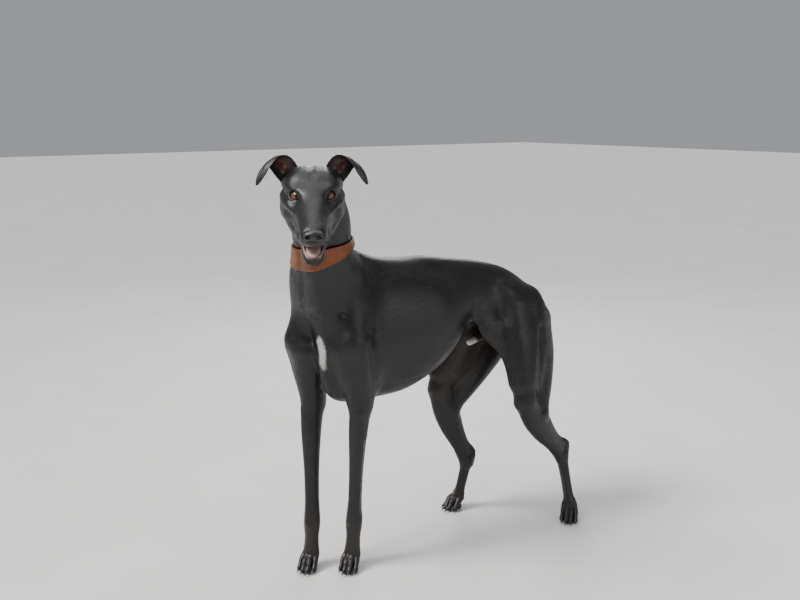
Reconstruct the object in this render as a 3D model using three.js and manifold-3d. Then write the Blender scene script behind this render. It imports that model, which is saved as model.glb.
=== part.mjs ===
// Life-size standing greyhound with a leather collar, head turned to its left.
// Millimetres. +X is the dog's left, -Y is ahead of it, +Z is up.
import * as THREE from 'three';
import { mergeVertices } from 'three/addons/utils/BufferGeometryUtils.js';
import Module from 'manifold-3d';

const wasm = await Module();
wasm.setup();
const { Manifold, Mesh: SolidMesh } = wasm;

// Driving dimensions
const LEFT = 1;
const RIGHT = -1;
const GAP = 0.3;
const EYE_RADIUS = 11.2;
const LID_DEPTH = 2.4;
const EAR_THICK = 2.6;
const EAR_ACROSS = [0.25, -0.75, 0.6];
const COLLAR_CLEAR = 2.0;
const COLLAR_THICK = 3.6;
const COLLAR_NORMAL = [0.014, -0.249, 0.955];
const COLLAR_NARROW = 8;
const COLLAR_SWELL = 17.5;
const COLLAR_WIDEST = (235 * Math.PI) / 180;
// Shortest edge and thinnest triangle that a finished skin keeps
const SHORT_EDGE = 1.1;
const THIN_FACE = 0.05;
// Furthest that drawing an edge together may move a point off its neighbours' faces
const EDGE_DRIFT = 0.07;
// A point this far inside a neighbour takes no blend with it
const DEEP = 11;
const CLAW_LENGTH = 15;
const CLAW_RADIUS = 3.1;
const PAW_TOE_RADIUS = 8.6;
// Moves the middle of the footprint of the whole model to the origin
const SHIFT = [-101.8, 54.1, 0];

// Joints of the pose, before the shift
const POSE = {
  withers: [0, -222, 706],
  fore: {
    [LEFT]: {
      shoulder: [73, -264, 546],
      elbow: [52, -236, 394],
      carpus: [29, -240, 112],
      knuckle: [27, -244, 40],
      foot: [31, -252, 0],
      out: [0.9, 0.43, 0],
      ahead: [0.62, -0.785, 0],
    },
    [RIGHT]: {
      shoulder: [-48, -322, 536],
      elbow: [-48, -297, 385],
      carpus: [-33, -314, 110],
      knuckle: [-32, -318, 40],
      foot: [-28, -326, 0],
      out: [-0.9, -0.43, 0],
      ahead: [0.62, -0.785, 0],
    },
  },
  hind: {
    [LEFT]: {
      hip: [84, 256, 545],
      knee: [122, 206, 336],
      hock: [112, 353, 160],
      knuckle: [146, 353, 40],
      foot: [158, 341, 0],
      out: [1, 0.05, 0],
      ahead: [0.6, -0.8, 0],
    },
    [RIGHT]: {
      hip: [-18, 244, 545],
      knee: [-70, 90, 340],
      hock: [-48, 168, 136],
      knuckle: [-67, 158, 37],
      foot: [-72, 150, 0],
      out: [-1, -0.05, 0],
      ahead: [0.12, -0.99, 0],
    },
  },
};

// Head frame: centre between the eyes, then ahead, left and up
const HEAD = {
  at: [180.7, -426.3, 876.1],
  scale: 1.06,
  ahead: [0.8353, -0.5112, -0.2028],
  left: [0.522, 0.853, 0],
  up: [0.173, -0.1059, 0.9793],
};

// Small vector helpers
const add = (a, b) => [a[0] + b[0], a[1] + b[1], a[2] + b[2]];
const sub = (a, b) => [a[0] - b[0], a[1] - b[1], a[2] - b[2]];
const mul = (a, s) => [a[0] * s, a[1] * s, a[2] * s];
const dot = (a, b) => a[0] * b[0] + a[1] * b[1] + a[2] * b[2];
const unit = (a) => mul(a, 1 / Math.hypot(...a));
const mix = (a, b, t) => a.map((v, i) => v + (b[i] - v) * t);
const cross = (a, b) => [
  a[1] * b[2] - a[2] * b[1],
  a[2] * b[0] - a[0] * b[2],
  a[0] * b[1] - a[1] * b[0],
];
const along = (p, ...moves) => moves.reduce((q, [v, s]) => add(q, mul(v, s)), p);
const onHead = (a, b, c) => {
  const k = HEAD.scale;
  return along(HEAD.at, [HEAD.ahead, a * k], [HEAD.left, b * k], [HEAD.up, c * k]);
};

// A smooth curve through rows of numbers, with some steps between each two
function smoothRows(rows, steps) {
  const out = [];
  const at = (i) => rows[Math.max(0, Math.min(rows.length - 1, i))];
  for (let i = 0; i < rows.length - 1; i += 1) {
    const [p, q, r, s] = [at(i - 1), at(i), at(i + 1), at(i + 2)];
    for (let j = 0; j < steps; j += 1) {
      const t = j / steps;
      out.push(q.map((v, n) => {
        const slope = (r[n] - p[n]) / 2;
        const slopeEnd = (s[n] - v) / 2;
        const turn = 3 * (r[n] - v) - 2 * slope - slopeEnd;
        const close = 2 * (v - r[n]) + slope + slopeEnd;
        return v + t * (slope + t * (turn + t * close));
      }));
    }
  }
  out.push(rows[rows.length - 1].slice());
  return out;
}

// A limb of flesh: rows of x, y, z, half width along side, half width across it
function chain(rows, side, blend, cut = false) {
  const line = smoothRows(rows, 3);
  const links = [];
  const low = [1e9, 1e9, 1e9];
  const high = [-1e9, -1e9, -1e9];
  for (const row of line) {
    const wide = Math.max(row[3], row[4]);
    for (let i = 0; i < 3; i += 1) {
      low[i] = Math.min(low[i], row[i] - wide);
      high[i] = Math.max(high[i], row[i] + wide);
    }
  }
  for (let i = 0; i < line.length - 1; i += 1) {
    const p = line[i];
    const q = line[i + 1];
    const step = sub(q, p);
    const t = unit(step);
    const s = unit(sub(side, mul(t, dot(side, t))));
    links.push({ p, q, t, s, n: cross(t, s), len: Math.hypot(...step.slice(0, 3)) });
  }
  return { links, low, high, blend, cut };
}

// Signed distance to one chain, near enough for blending
function chainDistance(form, x, y, z) {
  let best = 1e9;
  for (const { p, q, t, s, n, len } of form.links) {
    const dx = x - p[0];
    const dy = y - p[1];
    const dz = z - p[2];
    const run = dx * t[0] + dy * t[1] + dz * t[2];
    const w = Math.max(0, Math.min(1, run / len));
    const a = p[3] + (q[3] - p[3]) * w;
    const b = p[4] + (q[4] - p[4]) * w;
    const c = Math.min(a, b);
    const u = dx * s[0] + dy * s[1] + dz * s[2];
    const v = dx * n[0] + dy * n[1] + dz * n[2];
    const h = run - w * len;
    const k0 = Math.hypot(u / a, v / b, h / c);
    const k1 = Math.hypot(u / (a * a), v / (b * b), h / (c * c));
    const d = k1 < 1e-9 ? -c : (k0 * (k0 - 1)) / k1;
    if (d < best) best = d;
  }
  return best;
}

// Distance from a point to the box round a form
function boxDistance(form, x, y, z) {
  const dx = Math.max(form.low[0] - x, x - form.high[0], 0);
  const dy = Math.max(form.low[1] - y, y - form.high[1], 0);
  const dz = Math.max(form.low[2] - z, z - form.high[2], 0);
  return Math.hypot(dx, dy, dz);
}

// One smooth field from a list of forms, joined and cut in their order
function blended(forms) {
  return (x, y, z) => {
    let d = 1e3;
    for (const form of forms) {
      const k = form.blend;
      if (!form.cut && boxDistance(form, x, y, z) > d + k) continue;
      if (form.cut && boxDistance(form, x, y, z) > k - d) continue;
      const e = form.cut ? -chainDistance(form, x, y, z) : chainDistance(form, x, y, z);
      const soft = Math.max(k - Math.abs(d - e), 0) / k;
      const round = soft * soft * k * 0.25;
      d = form.cut ? Math.max(d, e) + round : Math.min(d, e) - round;
    }
    return d;
  };
}

// Where a ray from inside leaves the field
function leave(field, c, dir, far) {
  let near = 0;
  let r = 0;
  let hit = false;
  while (r < far) {
    const f = field(c[0] + dir[0] * r, c[1] + dir[1] * r, c[2] + dir[2] * r);
    if (f > 0) {
      hit = true;
      break;
    }
    near = r;
    r += Math.max(0.8, -0.7 * f);
  }
  if (!hit) return null;
  for (let i = 0; i < 12; i += 1) {
    const mid = (near + r) / 2;
    const f = field(c[0] + dir[0] * mid, c[1] + dir[1] * mid, c[2] + dir[2] * mid);
    if (f > 0) r = mid;
    else near = mid;
  }
  return r;
}

// Indexed triangles to a solid and back
function solidOf(points, faces) {
  let inside = 0;
  for (const [a, b, c] of faces) inside += dot(points[a], cross(points[b], points[c]));
  const turned = inside < 0 ? faces.map(([a, b, c]) => [a, c, b]) : faces;
  const mesh = new SolidMesh({
    numProp: 3,
    vertProperties: new Float32Array(points.flat()),
    triVerts: new Uint32Array(turned.flat()),
  });
  mesh.merge();
  return new Manifold(mesh);
}

// Rings of equal length joined into one closed skin, poles at both ends
function skinRings(rings, first, last) {
  const n = rings[0].length;
  const points = rings.flat();
  const faces = [];
  for (let i = 0; i < rings.length - 1; i += 1) {
    for (let j = 0; j < n; j += 1) {
      const a = i * n + j;
      const b = i * n + ((j + 1) % n);
      const c = a + n;
      const d = b + n;
      const short = Math.hypot(...sub(points[a], points[d]));
      const other = Math.hypot(...sub(points[b], points[c]));
      if (short < other) faces.push([a, b, d], [a, d, c]);
      else faces.push([a, b, c], [b, d, c]);
    }
  }
  const start = points.length;
  points.push(first, last);
  const top = (rings.length - 1) * n;
  for (let j = 0; j < n; j += 1) {
    const k = (j + 1) % n;
    faces.push([start, k, j], [start + 1, top + j, top + k]);
  }
  return solidOf(points, faces);
}

// Stations along a line, each with two directions square to it
function stations(line, side) {
  return line.map((row, i) => {
    const before = line[Math.max(0, i - 1)];
    const after = line[Math.min(line.length - 1, i + 1)];
    const t = unit(sub(after, before));
    const s = unit(sub(side, mul(t, dot(side, t))));
    return { c: row.slice(0, 3), t, s, n: cross(t, s) };
  });
}

// Skin of a field round a line: own decides the limb, all adds the blend to its neighbour
function sweep(own, line, side, sides, caps = [0, 0], all = null, extra = 30) {
  const marks = stations(line, side);
  const out = (c, dir) => {
    const r = leave(own, c, dir, 400) ?? 1;
    const point = along(c, [dir, r]);
    if (!all || all(...point) < -DEEP) return point;
    const wide = leave(all, c, dir, r + extra);
    return along(c, [dir, wide ?? r]);
  };
  const ring = (m, tilt) => {
    const points = [];
    for (let j = 0; j < sides; j += 1) {
      const turn = (2 * Math.PI * j) / sides;
      const flat = add(mul(m.s, Math.cos(turn)), mul(m.n, Math.sin(turn)));
      const dir = add(mul(flat, Math.cos(tilt)), mul(m.t, Math.sin(tilt)));
      points.push(out(m.c, dir));
    }
    return points;
  };
  const rings = [];
  const first = marks[0];
  const last = marks[marks.length - 1];
  const quarter = Math.PI / 2;
  for (let i = caps[0]; i > 0; i -= 1) rings.push(ring(first, (-quarter * i) / (caps[0] + 1)));
  for (const m of marks) rings.push(ring(m, 0));
  for (let i = 1; i <= caps[1]; i += 1) rings.push(ring(last, (quarter * i) / (caps[1] + 1)));
  const start = caps[0] ? out(first.c, mul(first.t, -1)) : first.c;
  const end = caps[1] ? out(last.c, last.t) : last.c;
  return skinRings(rings, start, end);
}

// A plain tube of oval rings with rounded ends
function tube(rows, side, sides, steps = 2, caps = 2) {
  const line = smoothRows(rows, steps);
  const marks = stations(line, side);
  const rings = [];
  const oval = (m, row, shrink, shift) => {
    const points = [];
    for (let j = 0; j < sides; j += 1) {
      const turn = (2 * Math.PI * j) / sides;
      const a = row[3] * shrink * Math.cos(turn);
      const b = row[4] * shrink * Math.sin(turn);
      points.push(along(m.c, [m.s, a], [m.n, b], [m.t, shift]));
    }
    return points;
  };
  const quarter = Math.PI / 2;
  const head = line[0];
  const foot = line[line.length - 1];
  const m0 = marks[0];
  const m1 = marks[marks.length - 1];
  const r0 = Math.min(head[3], head[4]);
  const r1 = Math.min(foot[3], foot[4]);
  for (let i = caps; i > 0; i -= 1) {
    const tilt = (quarter * i) / (caps + 1);
    rings.push(oval(m0, head, Math.cos(tilt), -r0 * Math.sin(tilt)));
  }
  line.forEach((row, i) => rings.push(oval(marks[i], row, 1, 0)));
  for (let i = 1; i <= caps; i += 1) {
    const tilt = (quarter * i) / (caps + 1);
    rings.push(oval(m1, foot, Math.cos(tilt), r1 * Math.sin(tilt)));
  }
  const start = along(m0.c, [m0.t, caps ? -r0 : 0]);
  const end = along(m1.c, [m1.t, caps ? r1 : 0]);
  return skinRings(rings, start, end);
}

// A three.js geometry as a solid
function fromGeometry(geometry) {
  const plain = geometry.index ? geometry.toNonIndexed() : geometry;
  const list = plain.attributes.position;
  const points = [];
  const faces = [];
  for (let i = 0; i < list.count; i += 1) points.push([list.getX(i), list.getY(i), list.getZ(i)]);
  for (let i = 0; i < list.count; i += 3) faces.push([i, i + 1, i + 2]);
  return solidOf(points, faces);
}

// A box by its middle, its sizes and the directions of its first two edges
function block(at, size, u, v) {
  const a = unit(u);
  const b = unit(sub(v, mul(a, dot(v, a))));
  const c = cross(a, b);
  const geometry = new THREE.BoxGeometry(size[0], size[1], size[2]);
  const turn = new THREE.Matrix4().makeBasis(
    new THREE.Vector3(...a),
    new THREE.Vector3(...b),
    new THREE.Vector3(...c),
  );
  turn.setPosition(at[0], at[1], at[2]);
  geometry.applyMatrix4(turn);
  return fromGeometry(geometry);
}

// A ball by its middle and radius
function ball(at, radius, sides = 16) {
  const geometry = new THREE.SphereGeometry(radius, sides, Math.round(sides / 2) + 1);
  geometry.translate(at[0], at[1], at[2]);
  return fromGeometry(geometry);
}

// Flesh of the barrel, from the front of the chest to the rump
function barrelForms() {
  const side = [1, 0, 0];
  const barrel = [
    [26, -284, 546, 42, 54],
    [17, -256, 553, 60, 100],
    [8, -212, 556, 76, 138],
    [3, -150, 552, 88, 148],
    [2, -84, 550, 93, 147],
    [2, -30, 562, 92, 130],
    [2, 19, 584, 80, 96],
    [4, 75, 597, 68, 78],
    [9, 130, 594, 60, 70],
    [17, 185, 588, 57, 62],
    [26, 240, 570, 54, 50],
    [36, 284, 542, 43, 36],
    [40, 306, 524, 29, 28],
  ];
  const ridge = [
    [0, -225, 708, 26, 24],
    [0, -156, 688, 26, 23],
    [0, -92, 680, 26, 21],
    [1, -31, 681, 26, 23],
    [5, 61, 666, 25, 22],
    [12, 148, 648, 26, 23],
    [20, 217, 624, 24, 21],
    [30, 280, 572, 21, 17],
    [37, 310, 538, 16, 13],
  ];
  const keel = [
    [27, -292, 508, 25, 34],
    [17, -272, 446, 27, 34],
    [9, -236, 424, 28, 30],
    [5, -165, 420, 30, 26],
    [3, -95, 424, 28, 24],
    [2, -40, 456, 26, 20],
    [2, 10, 504, 22, 16],
  ];
  return [chain(barrel, side, 10), chain(ridge, side, 30), chain(keel, side, 30)];
}

// Neck from between the shoulders to the back of the skull
const NECK_SIDE = [0.73, 0.69, 0];
const NECK_ROWS = [
  [-2, -236, 616, 72, 92],
  [4, -282, 664, 75, 84],
  [28, -306, 714, 67, 73],
  [53, -326, 764, 60, 66],
  [78, -346, 812, 60, 62],
  [94, -366, 854, 56, 58],
];

// Shoulder blade, upper arm and chest muscle of one side
function shoulderForms(s) {
  const { shoulder, elbow, out } = POSE.fore[s];
  const fore = unit(cross(out, [0, 0, s]));
  const top = along(POSE.withers, [out, 20], [fore, -10]);
  const blade = [
    [...along(top, [out, -2]), 13, 30],
    [...along(mix(top, shoulder, 0.4), [out, 6]), 20, 46],
    [...along(mix(top, shoulder, 0.75), [out, 4]), 24, 46],
    [...along(shoulder, [out, 2]), 30, 40],
  ];
  const arm = [
    [...along(shoulder, [fore, -4]), 30, 40],
    [...along(mix(shoulder, elbow, 0.35), [out, 4], [fore, -20]), 29, 48],
    [...along(mix(shoulder, elbow, 0.7), [out, 4], [fore, -20]), 25, 40],
    [...along(elbow, [fore, -8]), 19, 27],
  ];
  const breast = [
    [...along(shoulder, [out, -22], [fore, 16], [[0, 0, 1], -14]), 28, 26],
    [...along(mix(shoulder, elbow, 0.5), [out, -12], [fore, 8]), 24, 26],
    [...along(mix(shoulder, elbow, 0.9), [out, -6], [fore, 4]), 18, 22],
  ];
  const strap = [
    [...mix(NECK_ROWS[2], NECK_ROWS[1], 0.4).slice(0, 3), 30, 34],
    [...mix(NECK_ROWS[1], shoulder, 0.35).slice(0, 3), 32, 36],
    [...mix(NECK_ROWS[1], shoulder, 0.7).slice(0, 3), 30, 34],
    [...along(shoulder, [out, -4], [[0, 0, 1], 14]), 28, 32],
  ];
  const sideOf = mul(NECK_SIDE, s * 38);
  strap[0] = [...add(strap[0].slice(0, 3), sideOf), 30, 34];
  strap[1] = [...add(strap[1].slice(0, 3), mul(sideOf, 0.7)), 32, 36];
  strap[2] = [...add(strap[2].slice(0, 3), mul(sideOf, 0.3)), 30, 34];
  return [chain(blade, out, 26), chain(arm, out, 22), chain(breast, out, 20), chain(strap, out, 24)];
}

// Hip and seat muscle of one side, where the thigh joins the barrel
function hipForms(s) {
  const { hip, out } = POSE.hind[s];
  const rump = [
    [...along(hip, [out, -34], [[0, -1, 0], 66], [[0, 0, 1], 48]), 26, 30],
    [...along(hip, [out, -16], [[0, -1, 0], 18], [[0, 0, 1], 22]), 32, 42],
    [...along(hip, [out, -18], [[0, -1, 0], -22], [[0, 0, 1], -12]), 30, 30],
    [...along(hip, [out, -28], [[0, -1, 0], -46], [[0, 0, 1], -34]), 20, 22],
  ];
  return [chain(rump, out, 30)];
}

// Thigh and lower leg of one side, down to the foot
function hindForms(s) {
  const { hip, knee, hock, knuckle, out } = POSE.hind[s];
  const thighAxis = unit(sub(knee, hip));
  const front = unit(cross(thighAxis, mul(out, s)));
  const shinAxis = unit(sub(hock, knee));
  const shin = unit(cross(shinAxis, mul(out, s)));
  const quad = [
    [...along(hip, [front, 52], [out, -12], [[0, 0, 1], 10]), 30, 36],
    [...along(mix(hip, knee, 0.3), [front, 38], [out, -2]), 34, 44],
    [...along(mix(hip, knee, 0.65), [front, 20], [out, 2]), 30, 40],
    [...along(knee, [front, 2]), 23, 26],
  ];
  const seat = along(hip, [front, -40], [out, -14], [[0, 0, 1], -14]);
  const lower = along(mix(knee, hock, 0.28), [shin, -16]);
  const ham = [
    [...seat, 30, 34],
    [...along(mix(seat, lower, 0.35), [out, 3]), 34, 42],
    [...along(mix(seat, lower, 0.7), [out, 2]), 28, 36],
    [...lower, 20, 24],
  ];
  const calf = [
    [...along(knee, [shin, 0]), 23, 27],
    [...along(mix(knee, hock, 0.22), [shin, 4]), 23, 36],
    [...along(mix(knee, hock, 0.48), [shin, 5]), 19, 33],
    [...along(mix(knee, hock, 0.76), [shin, 5]), 13.5, 20],
    [...along(hock, [shin, 4]), 15, 18],
  ];
  const heel = along(hock, [shin, -22], [[0, 0, 1], 14]);
  const cord = [
    [...along(mix(knee, hock, 0.45), [shin, -17]), 9, 12],
    [...along(mix(knee, hock, 0.75), [shin, -17]), 6, 7],
    [...heel, 9, 9],
    [...along(hock, [shin, -14], [[0, 0, 1], -14]), 10, 10],
  ];
  const pastern = [
    [...hock, 15, 17],
    [...mix(hock, knuckle, 0.3), 13.5, 15],
    [...mix(hock, knuckle, 0.75), 14, 13],
    [...knuckle, 17, 14],
  ];
  const core = [
    [...along(hip, [out, -14], [[0, 0, 1], 36]), 24, 34],
    [...along(hip, [out, -4]), 33, 44],
    [...mix(hip, knee, 0.35), 34, 50],
    [...mix(hip, knee, 0.75), 27, 36],
  ];
  return [
    chain(core, out, 20),
    chain(quad, out, 20),
    chain(ham, out, 24),
    chain(calf, out, 20),
    chain(cord, out, 12),
    chain(pastern, out, 10),
  ];
}

// Forearm and pastern of one side
function foreForms(s) {
  const { shoulder, elbow, carpus, knuckle, out } = POSE.fore[s];
  const fore = unit(cross(out, [0, 0, s]));
  const forearm = [
    [...along(elbow, [[0, 0, 1], 30], [fore, -6]), 23, 32],
    [...along(elbow, [fore, -3]), 23, 32],
    [...along(mix(elbow, carpus, 0.2), [fore, 2]), 21, 26],
    [...along(mix(elbow, carpus, 0.5), [fore, 2]), 17, 20],
    [...mix(elbow, carpus, 0.8), 16.5, 18],
    [...carpus, 20, 20],
    [...mix(carpus, knuckle, 0.5), 17.5, 16],
    [...knuckle, 20, 16],
  ];
  const upper = [
    [...along(mix(shoulder, elbow, 0.45), [fore, -14]), 26, 40],
    [...along(elbow, [fore, -6]), 21, 30],
  ];
  const point = [
    [...along(elbow, [fore, -26], [[0, 0, 1], 16]), 9, 10],
    [...along(elbow, [fore, -14], [[0, 0, 1], -20]), 10, 10],
  ];
  const stop = [
    [...along(carpus, [fore, -16], [[0, 0, 1], -4]), 6, 6],
    [...along(carpus, [fore, -15], [[0, 0, 1], -16]), 7, 7],
  ];
  return [
    chain(forearm, out, 10),
    chain(upper, out, 14),
    chain(point, out, 14),
    chain(stop, out, 8),
  ];
}

// Flesh of the neck
function neckForms() {
  return [chain(NECK_ROWS, NECK_SIDE, 34)];
}

// Rows in the head's own directions and size
const inHead = (rows) => rows.map(([a, b, c, w, h]) => {
  return [...onHead(a, b, c), w * HEAD.scale, h * HEAD.scale];
});

// Skull, muzzle, cheeks and lids of the head
function headForms() {
  const rows = [
    [-98, 0, -12, 36, 32],
    [-72, 0, -8, 45, 38],
    [-38, 0, -5, 48, 41],
    [-5, 0, -12, 41, 37],
    [25, 0, -20, 33, 30],
    [55, 0, -27, 28, 27],
    [85, 0, -31, 25.5, 23],
    [108, 0, -33, 23.5, 19.5],
    [122, 0, -33, 19, 16],
  ];
  const forms = [chain(inHead(rows), HEAD.left, 8)];
  for (const s of [LEFT, RIGHT]) {
    const arch = [
      [22, 26, -18, 8, 8],
      [-14, 44, -16, 9, 8],
      [-48, 49, -12, 9, 9],
    ];
    const cheek = [
      [-26, 36, -36, 16, 18],
      [-52, 39, -38, 20, 26],
    ];
    const brow = [
      [14, 19, 12, 7, 6],
      [-6, 33, 14, 7, 7],
      [-26, 40, 10, 6, 6],
    ];
    const turned = (list) => inHead(list.map(([a, b, c, w, h]) => [a, b * s, c, w, h]));
    forms.push(chain(turned(arch), HEAD.left, 12), chain(turned(cheek), HEAD.left, 16));
    forms.push(chain(turned(brow), HEAD.left, 10));
  }
  return forms;
}

const EYES = { [LEFT]: onHead(-5, 28.5, 0), [RIGHT]: onHead(-5, -28.5, 0) };

// Lower jaw, dropped a little with the mouth open
const JAW_ROWS = [
  [-52, 0, -46, 42, 20],
  [-20, 0, -57, 36, 17],
  [15, 0, -67, 28, 14.5],
  [50, 0, -76, 22, 12],
  [80, 0, -84, 18, 10],
  [94, 0, -86, 14, 8.5],
];

// Toes, pads and claws of one foot
function footParts(foot) {
  const { knuckle, foot: at, ahead } = foot;
  const side = unit(cross(ahead, [0, 0, 1]));
  const toes = [];
  const claws = [];
  const sockets = [];
  for (let i = 0; i < 4; i += 1) {
    const spread = i - 1.5;
    const inner = Math.abs(spread) < 1;
    const far = inner ? 30 : 20;
    const root = along(knuckle, [side, spread * 8.5], [ahead, 2], [[0, 0, 1], -4]);
    const bend = along(at, [side, spread * 11], [ahead, far - 16], [[0, 0, 1], 25]);
    const tip = along(at, [side, spread * 11.6], [ahead, far], [[0, 0, 1], 8]);
    const rows = [
      [...root, 8.5, 9],
      [...bend, PAW_TOE_RADIUS * 0.82, PAW_TOE_RADIUS],
      [...tip, PAW_TOE_RADIUS * 0.9, PAW_TOE_RADIUS + 0.6],
    ];
    toes.push(tube(rows, side, 8, 2, 1));
    const nail = (grow) => {
      const start = along(tip, [ahead, 3], [[0, 0, 1], 3]);
      const mid = along(tip, [ahead, 9], [[0, 0, 1], 2]);
      const end = along(tip, [ahead, CLAW_LENGTH], [[0, 0, 1], -4]);
      const r = CLAW_RADIUS + grow;
      const shape = [
        [...along(start, [ahead, -grow]), r * 0.8, r],
        [...mid, r * 0.75, r * 0.9],
        [...end, 0.7 + grow, 0.9 + grow],
      ];
      return tube(shape, side, 6, 1, 0);
    };
    claws.push(nail(0));
    sockets.push(nail(GAP));
  }
  const pad = [
    [...along(at, [side, -9], [ahead, -4], [[0, 0, 1], 8]), 10, 10],
    [...along(at, [side, 9], [ahead, -4], [[0, 0, 1], 8]), 10, 10],
  ];
  const web = [
    [...along(knuckle, [[0, 0, 1], 4]), 17, 14],
    [...along(mix(knuckle, at, 0.45), [ahead, 4]), 19, 14],
    [...along(at, [ahead, 6], [[0, 0, 1], 12]), 17, 12],
  ];
  toes.push(tube(pad, ahead, 8, 1, 1), tube(web, side, 10, 1, 1));
  return { toes, claws, sockets };
}

const unionAll = (list) => list.reduce((a, b) => a.add(b));

// The largest closed surface of a solid
function largest(solid) {
  const parts = solid.decompose();
  return parts.reduce((a, b) => (Math.abs(b.volume()) > Math.abs(a.volume()) ? b : a));
}

// The piece of a cut solid whose box middle is nearest a point
function pieceNear(parts, at) {
  const far = (p) => {
    const box = p.boundingBox();
    return Math.hypot(...sub(mix(box.min, box.max, 0.5), at));
  };
  return parts.reduce((a, b) => (far(b) < far(a) ? b : a));
}

// Whole flesh of body and limbs before it is parted
function buildBody() {
  const barrel = barrelForms();
  const shoulders = [...shoulderForms(LEFT), ...shoulderForms(RIGHT)];
  const hips = [...hipForms(LEFT), ...hipForms(RIGHT)];
  const trunkField = blended([...barrel, ...shoulders, ...hips]);
  const line = smoothRows([
    [27, -306, 540],
    [17, -282, 545],
    [7, -248, 552],
    [3, -205, 560],
    [2, -150, 560],
    [2, -84, 560],
    [2, -20, 572],
    [3, 40, 585],
    [7, 110, 596],
    [16, 180, 596],
    [27, 242, 574],
    [38, 290, 545],
  ], 2);
  const parts = [sweep(trunkField, line, [1, 0, 0], 34, [4, 3])];
  const neckLine = smoothRows(NECK_ROWS.map((row) => row.slice(0, 3)), 2);
  neckLine.push([100, -373, 870]);
  const neckOwn = blended(neckForms());
  const neckAll = blended([...barrel, ...shoulders, ...neckForms()]);
  parts.push(sweep(neckOwn, neckLine, NECK_SIDE, 22, [0, 1], neckAll, 26));
  for (const s of [LEFT, RIGHT]) {
    const hind = hindForms(s);
    const { hip, knee, hock, knuckle, out } = POSE.hind[s];
    const down = smoothRows([
      along(hip, [out, -8], [[0, 0, 1], 38]),
      along(hip, [[0, 0, 1], -14]),
      mix(hip, knee, 0.42),
      mix(hip, knee, 0.85),
      mix(knee, hock, 0.12),
      mix(knee, hock, 0.5),
      mix(knee, hock, 0.93),
      mix(hock, knuckle, 0.12),
      mix(hock, knuckle, 0.5),
      knuckle,
    ], 2);
    const own = blended(hind);
    const all = blended([...barrel, ...hips, ...hind]);
    parts.push(sweep(own, down, out, 18, [0, 0], all, 26));
    const fore = foreForms(s);
    const leg = POSE.fore[s];
    const shaft = smoothRows([
      mix(leg.shoulder, leg.elbow, 0.55),
      along(leg.elbow, [[0, 0, 1], 22]),
      mix(leg.elbow, leg.carpus, 0.06),
      mix(leg.elbow, leg.carpus, 0.35),
      mix(leg.elbow, leg.carpus, 0.7),
      leg.carpus,
      mix(leg.carpus, leg.knuckle, 0.5),
      leg.knuckle,
    ], 2);
    const ownFore = blended(fore);
    const allFore = blended([...barrel, ...shoulders, ...fore]);
    parts.push(sweep(ownFore, shaft, leg.out, 14, [0, 0], allFore, 22));
  }
  for (const s of [LEFT, RIGHT]) parts.push(buildWeb(s));
  return parts;
}

// Fold of skin from the flank down to the front of the thigh
function buildWeb(s) {
  return tube(FLANK_ROWS[s], [1, 0, 0], 14, 2, 2);
}

// Sheath and scrotum under the belly
function buildGroin() {
  const side = [1, 0, 0];
  const sheath = [
    [18, 112, 478, 9, 10],
    [20, 135, 488, 12, 14],
    [24, 180, 504, 13, 18],
    [28, 222, 512, 13, 18],
  ];
  const sac = (x) => [
    [x, 236, 486, 13, 15],
    [x, 242, 448, 12, 17],
  ];
  return [tube(sheath, side, 12), tube(sac(26), side, 12), tube(sac(40), side, 12)];
}

const FLANK_ROWS = {
  [LEFT]: [
    [58, 120, 568, 14, 34],
    [70, 136, 524, 15, 35],
    [82, 178, 480, 17, 36],
    [97, 194, 430, 19, 30],
    [112, 192, 384, 20, 26],
  ],
  [RIGHT]: [
    [-60, 118, 558, 12, 28],
    [-62, 116, 524, 15, 36],
    [-66, 112, 480, 17, 36],
    [-69, 104, 430, 19, 32],
    [-71, 86, 384, 20, 28],
  ],
};

const TAIL_ROWS = [
  [36, 300, 546, 18, 18],
  [38, 322, 532, 16, 16],
  [40, 342, 502, 13, 13.5],
  [40, 352, 450, 11, 11.5],
  [38, 352, 380, 9, 9.5],
  [36, 352, 310, 7.5, 7.5],
  [34, 358, 245, 6, 6],
  [33, 376, 196, 5, 5],
  [32, 396, 172, 3.6, 3.6],
];

// Corner lists of a closed skin, for drawing short edges together
function skinOf(solid) {
  const data = solid.getMesh();
  const points = [];
  for (let i = 0; i < data.vertProperties.length; i += data.numProp) {
    points.push(Array.from(data.vertProperties.slice(i, i + 3)));
  }
  const faces = [];
  for (let i = 0; i < data.triVerts.length; i += 3) {
    faces.push(Array.from(data.triVerts.slice(i, i + 3)));
  }
  const around = points.map(() => new Set());
  faces.forEach((face, i) => face.forEach((v) => around[v].add(i)));
  return { points, faces, around };
}

// Twice the area of a triangle as a vector, and its height over its longest edge
function facing(a, b, c) {
  const n = cross(sub(b, a), sub(c, a));
  const longest = Math.max(...[sub(b, a), sub(c, b), sub(a, c)].map((e) => Math.hypot(...e)));
  return { n, thin: Math.hypot(...n) / Math.max(longest, 1e-9) };
}

const neighboursOf = ({ faces, around }, v) => {
  const list = new Set();
  for (const i of around[v]) for (const w of faces[i]) if (w !== v) list.add(w);
  return list;
};

// How far a joined corner would lie off the faces it belongs to, or null if one would turn over
function driftOf({ points, faces, around }, a, b, at) {
  let drift = 0;
  for (const v of [a, b]) {
    for (const i of around[v]) {
      const face = faces[i];
      const before = facing(...face.map((w) => points[w]));
      const area = Math.hypot(...before.n);
      if (before.thin > THIN_FACE) {
        drift = Math.max(drift, Math.abs(dot(before.n, sub(at, points[v]))) / area);
      }
      if (face.includes(a) && face.includes(b)) continue;
      const after = facing(...face.map((w) => (w === v ? at : points[w])));
      if (after.thin < Math.min(THIN_FACE * 2, before.thin)) return null;
      const same = dot(before.n, after.n) / (area * Math.hypot(...after.n));
      if (before.thin > THIN_FACE && same < 0.85) return null;
    }
  }
  return drift;
}

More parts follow.
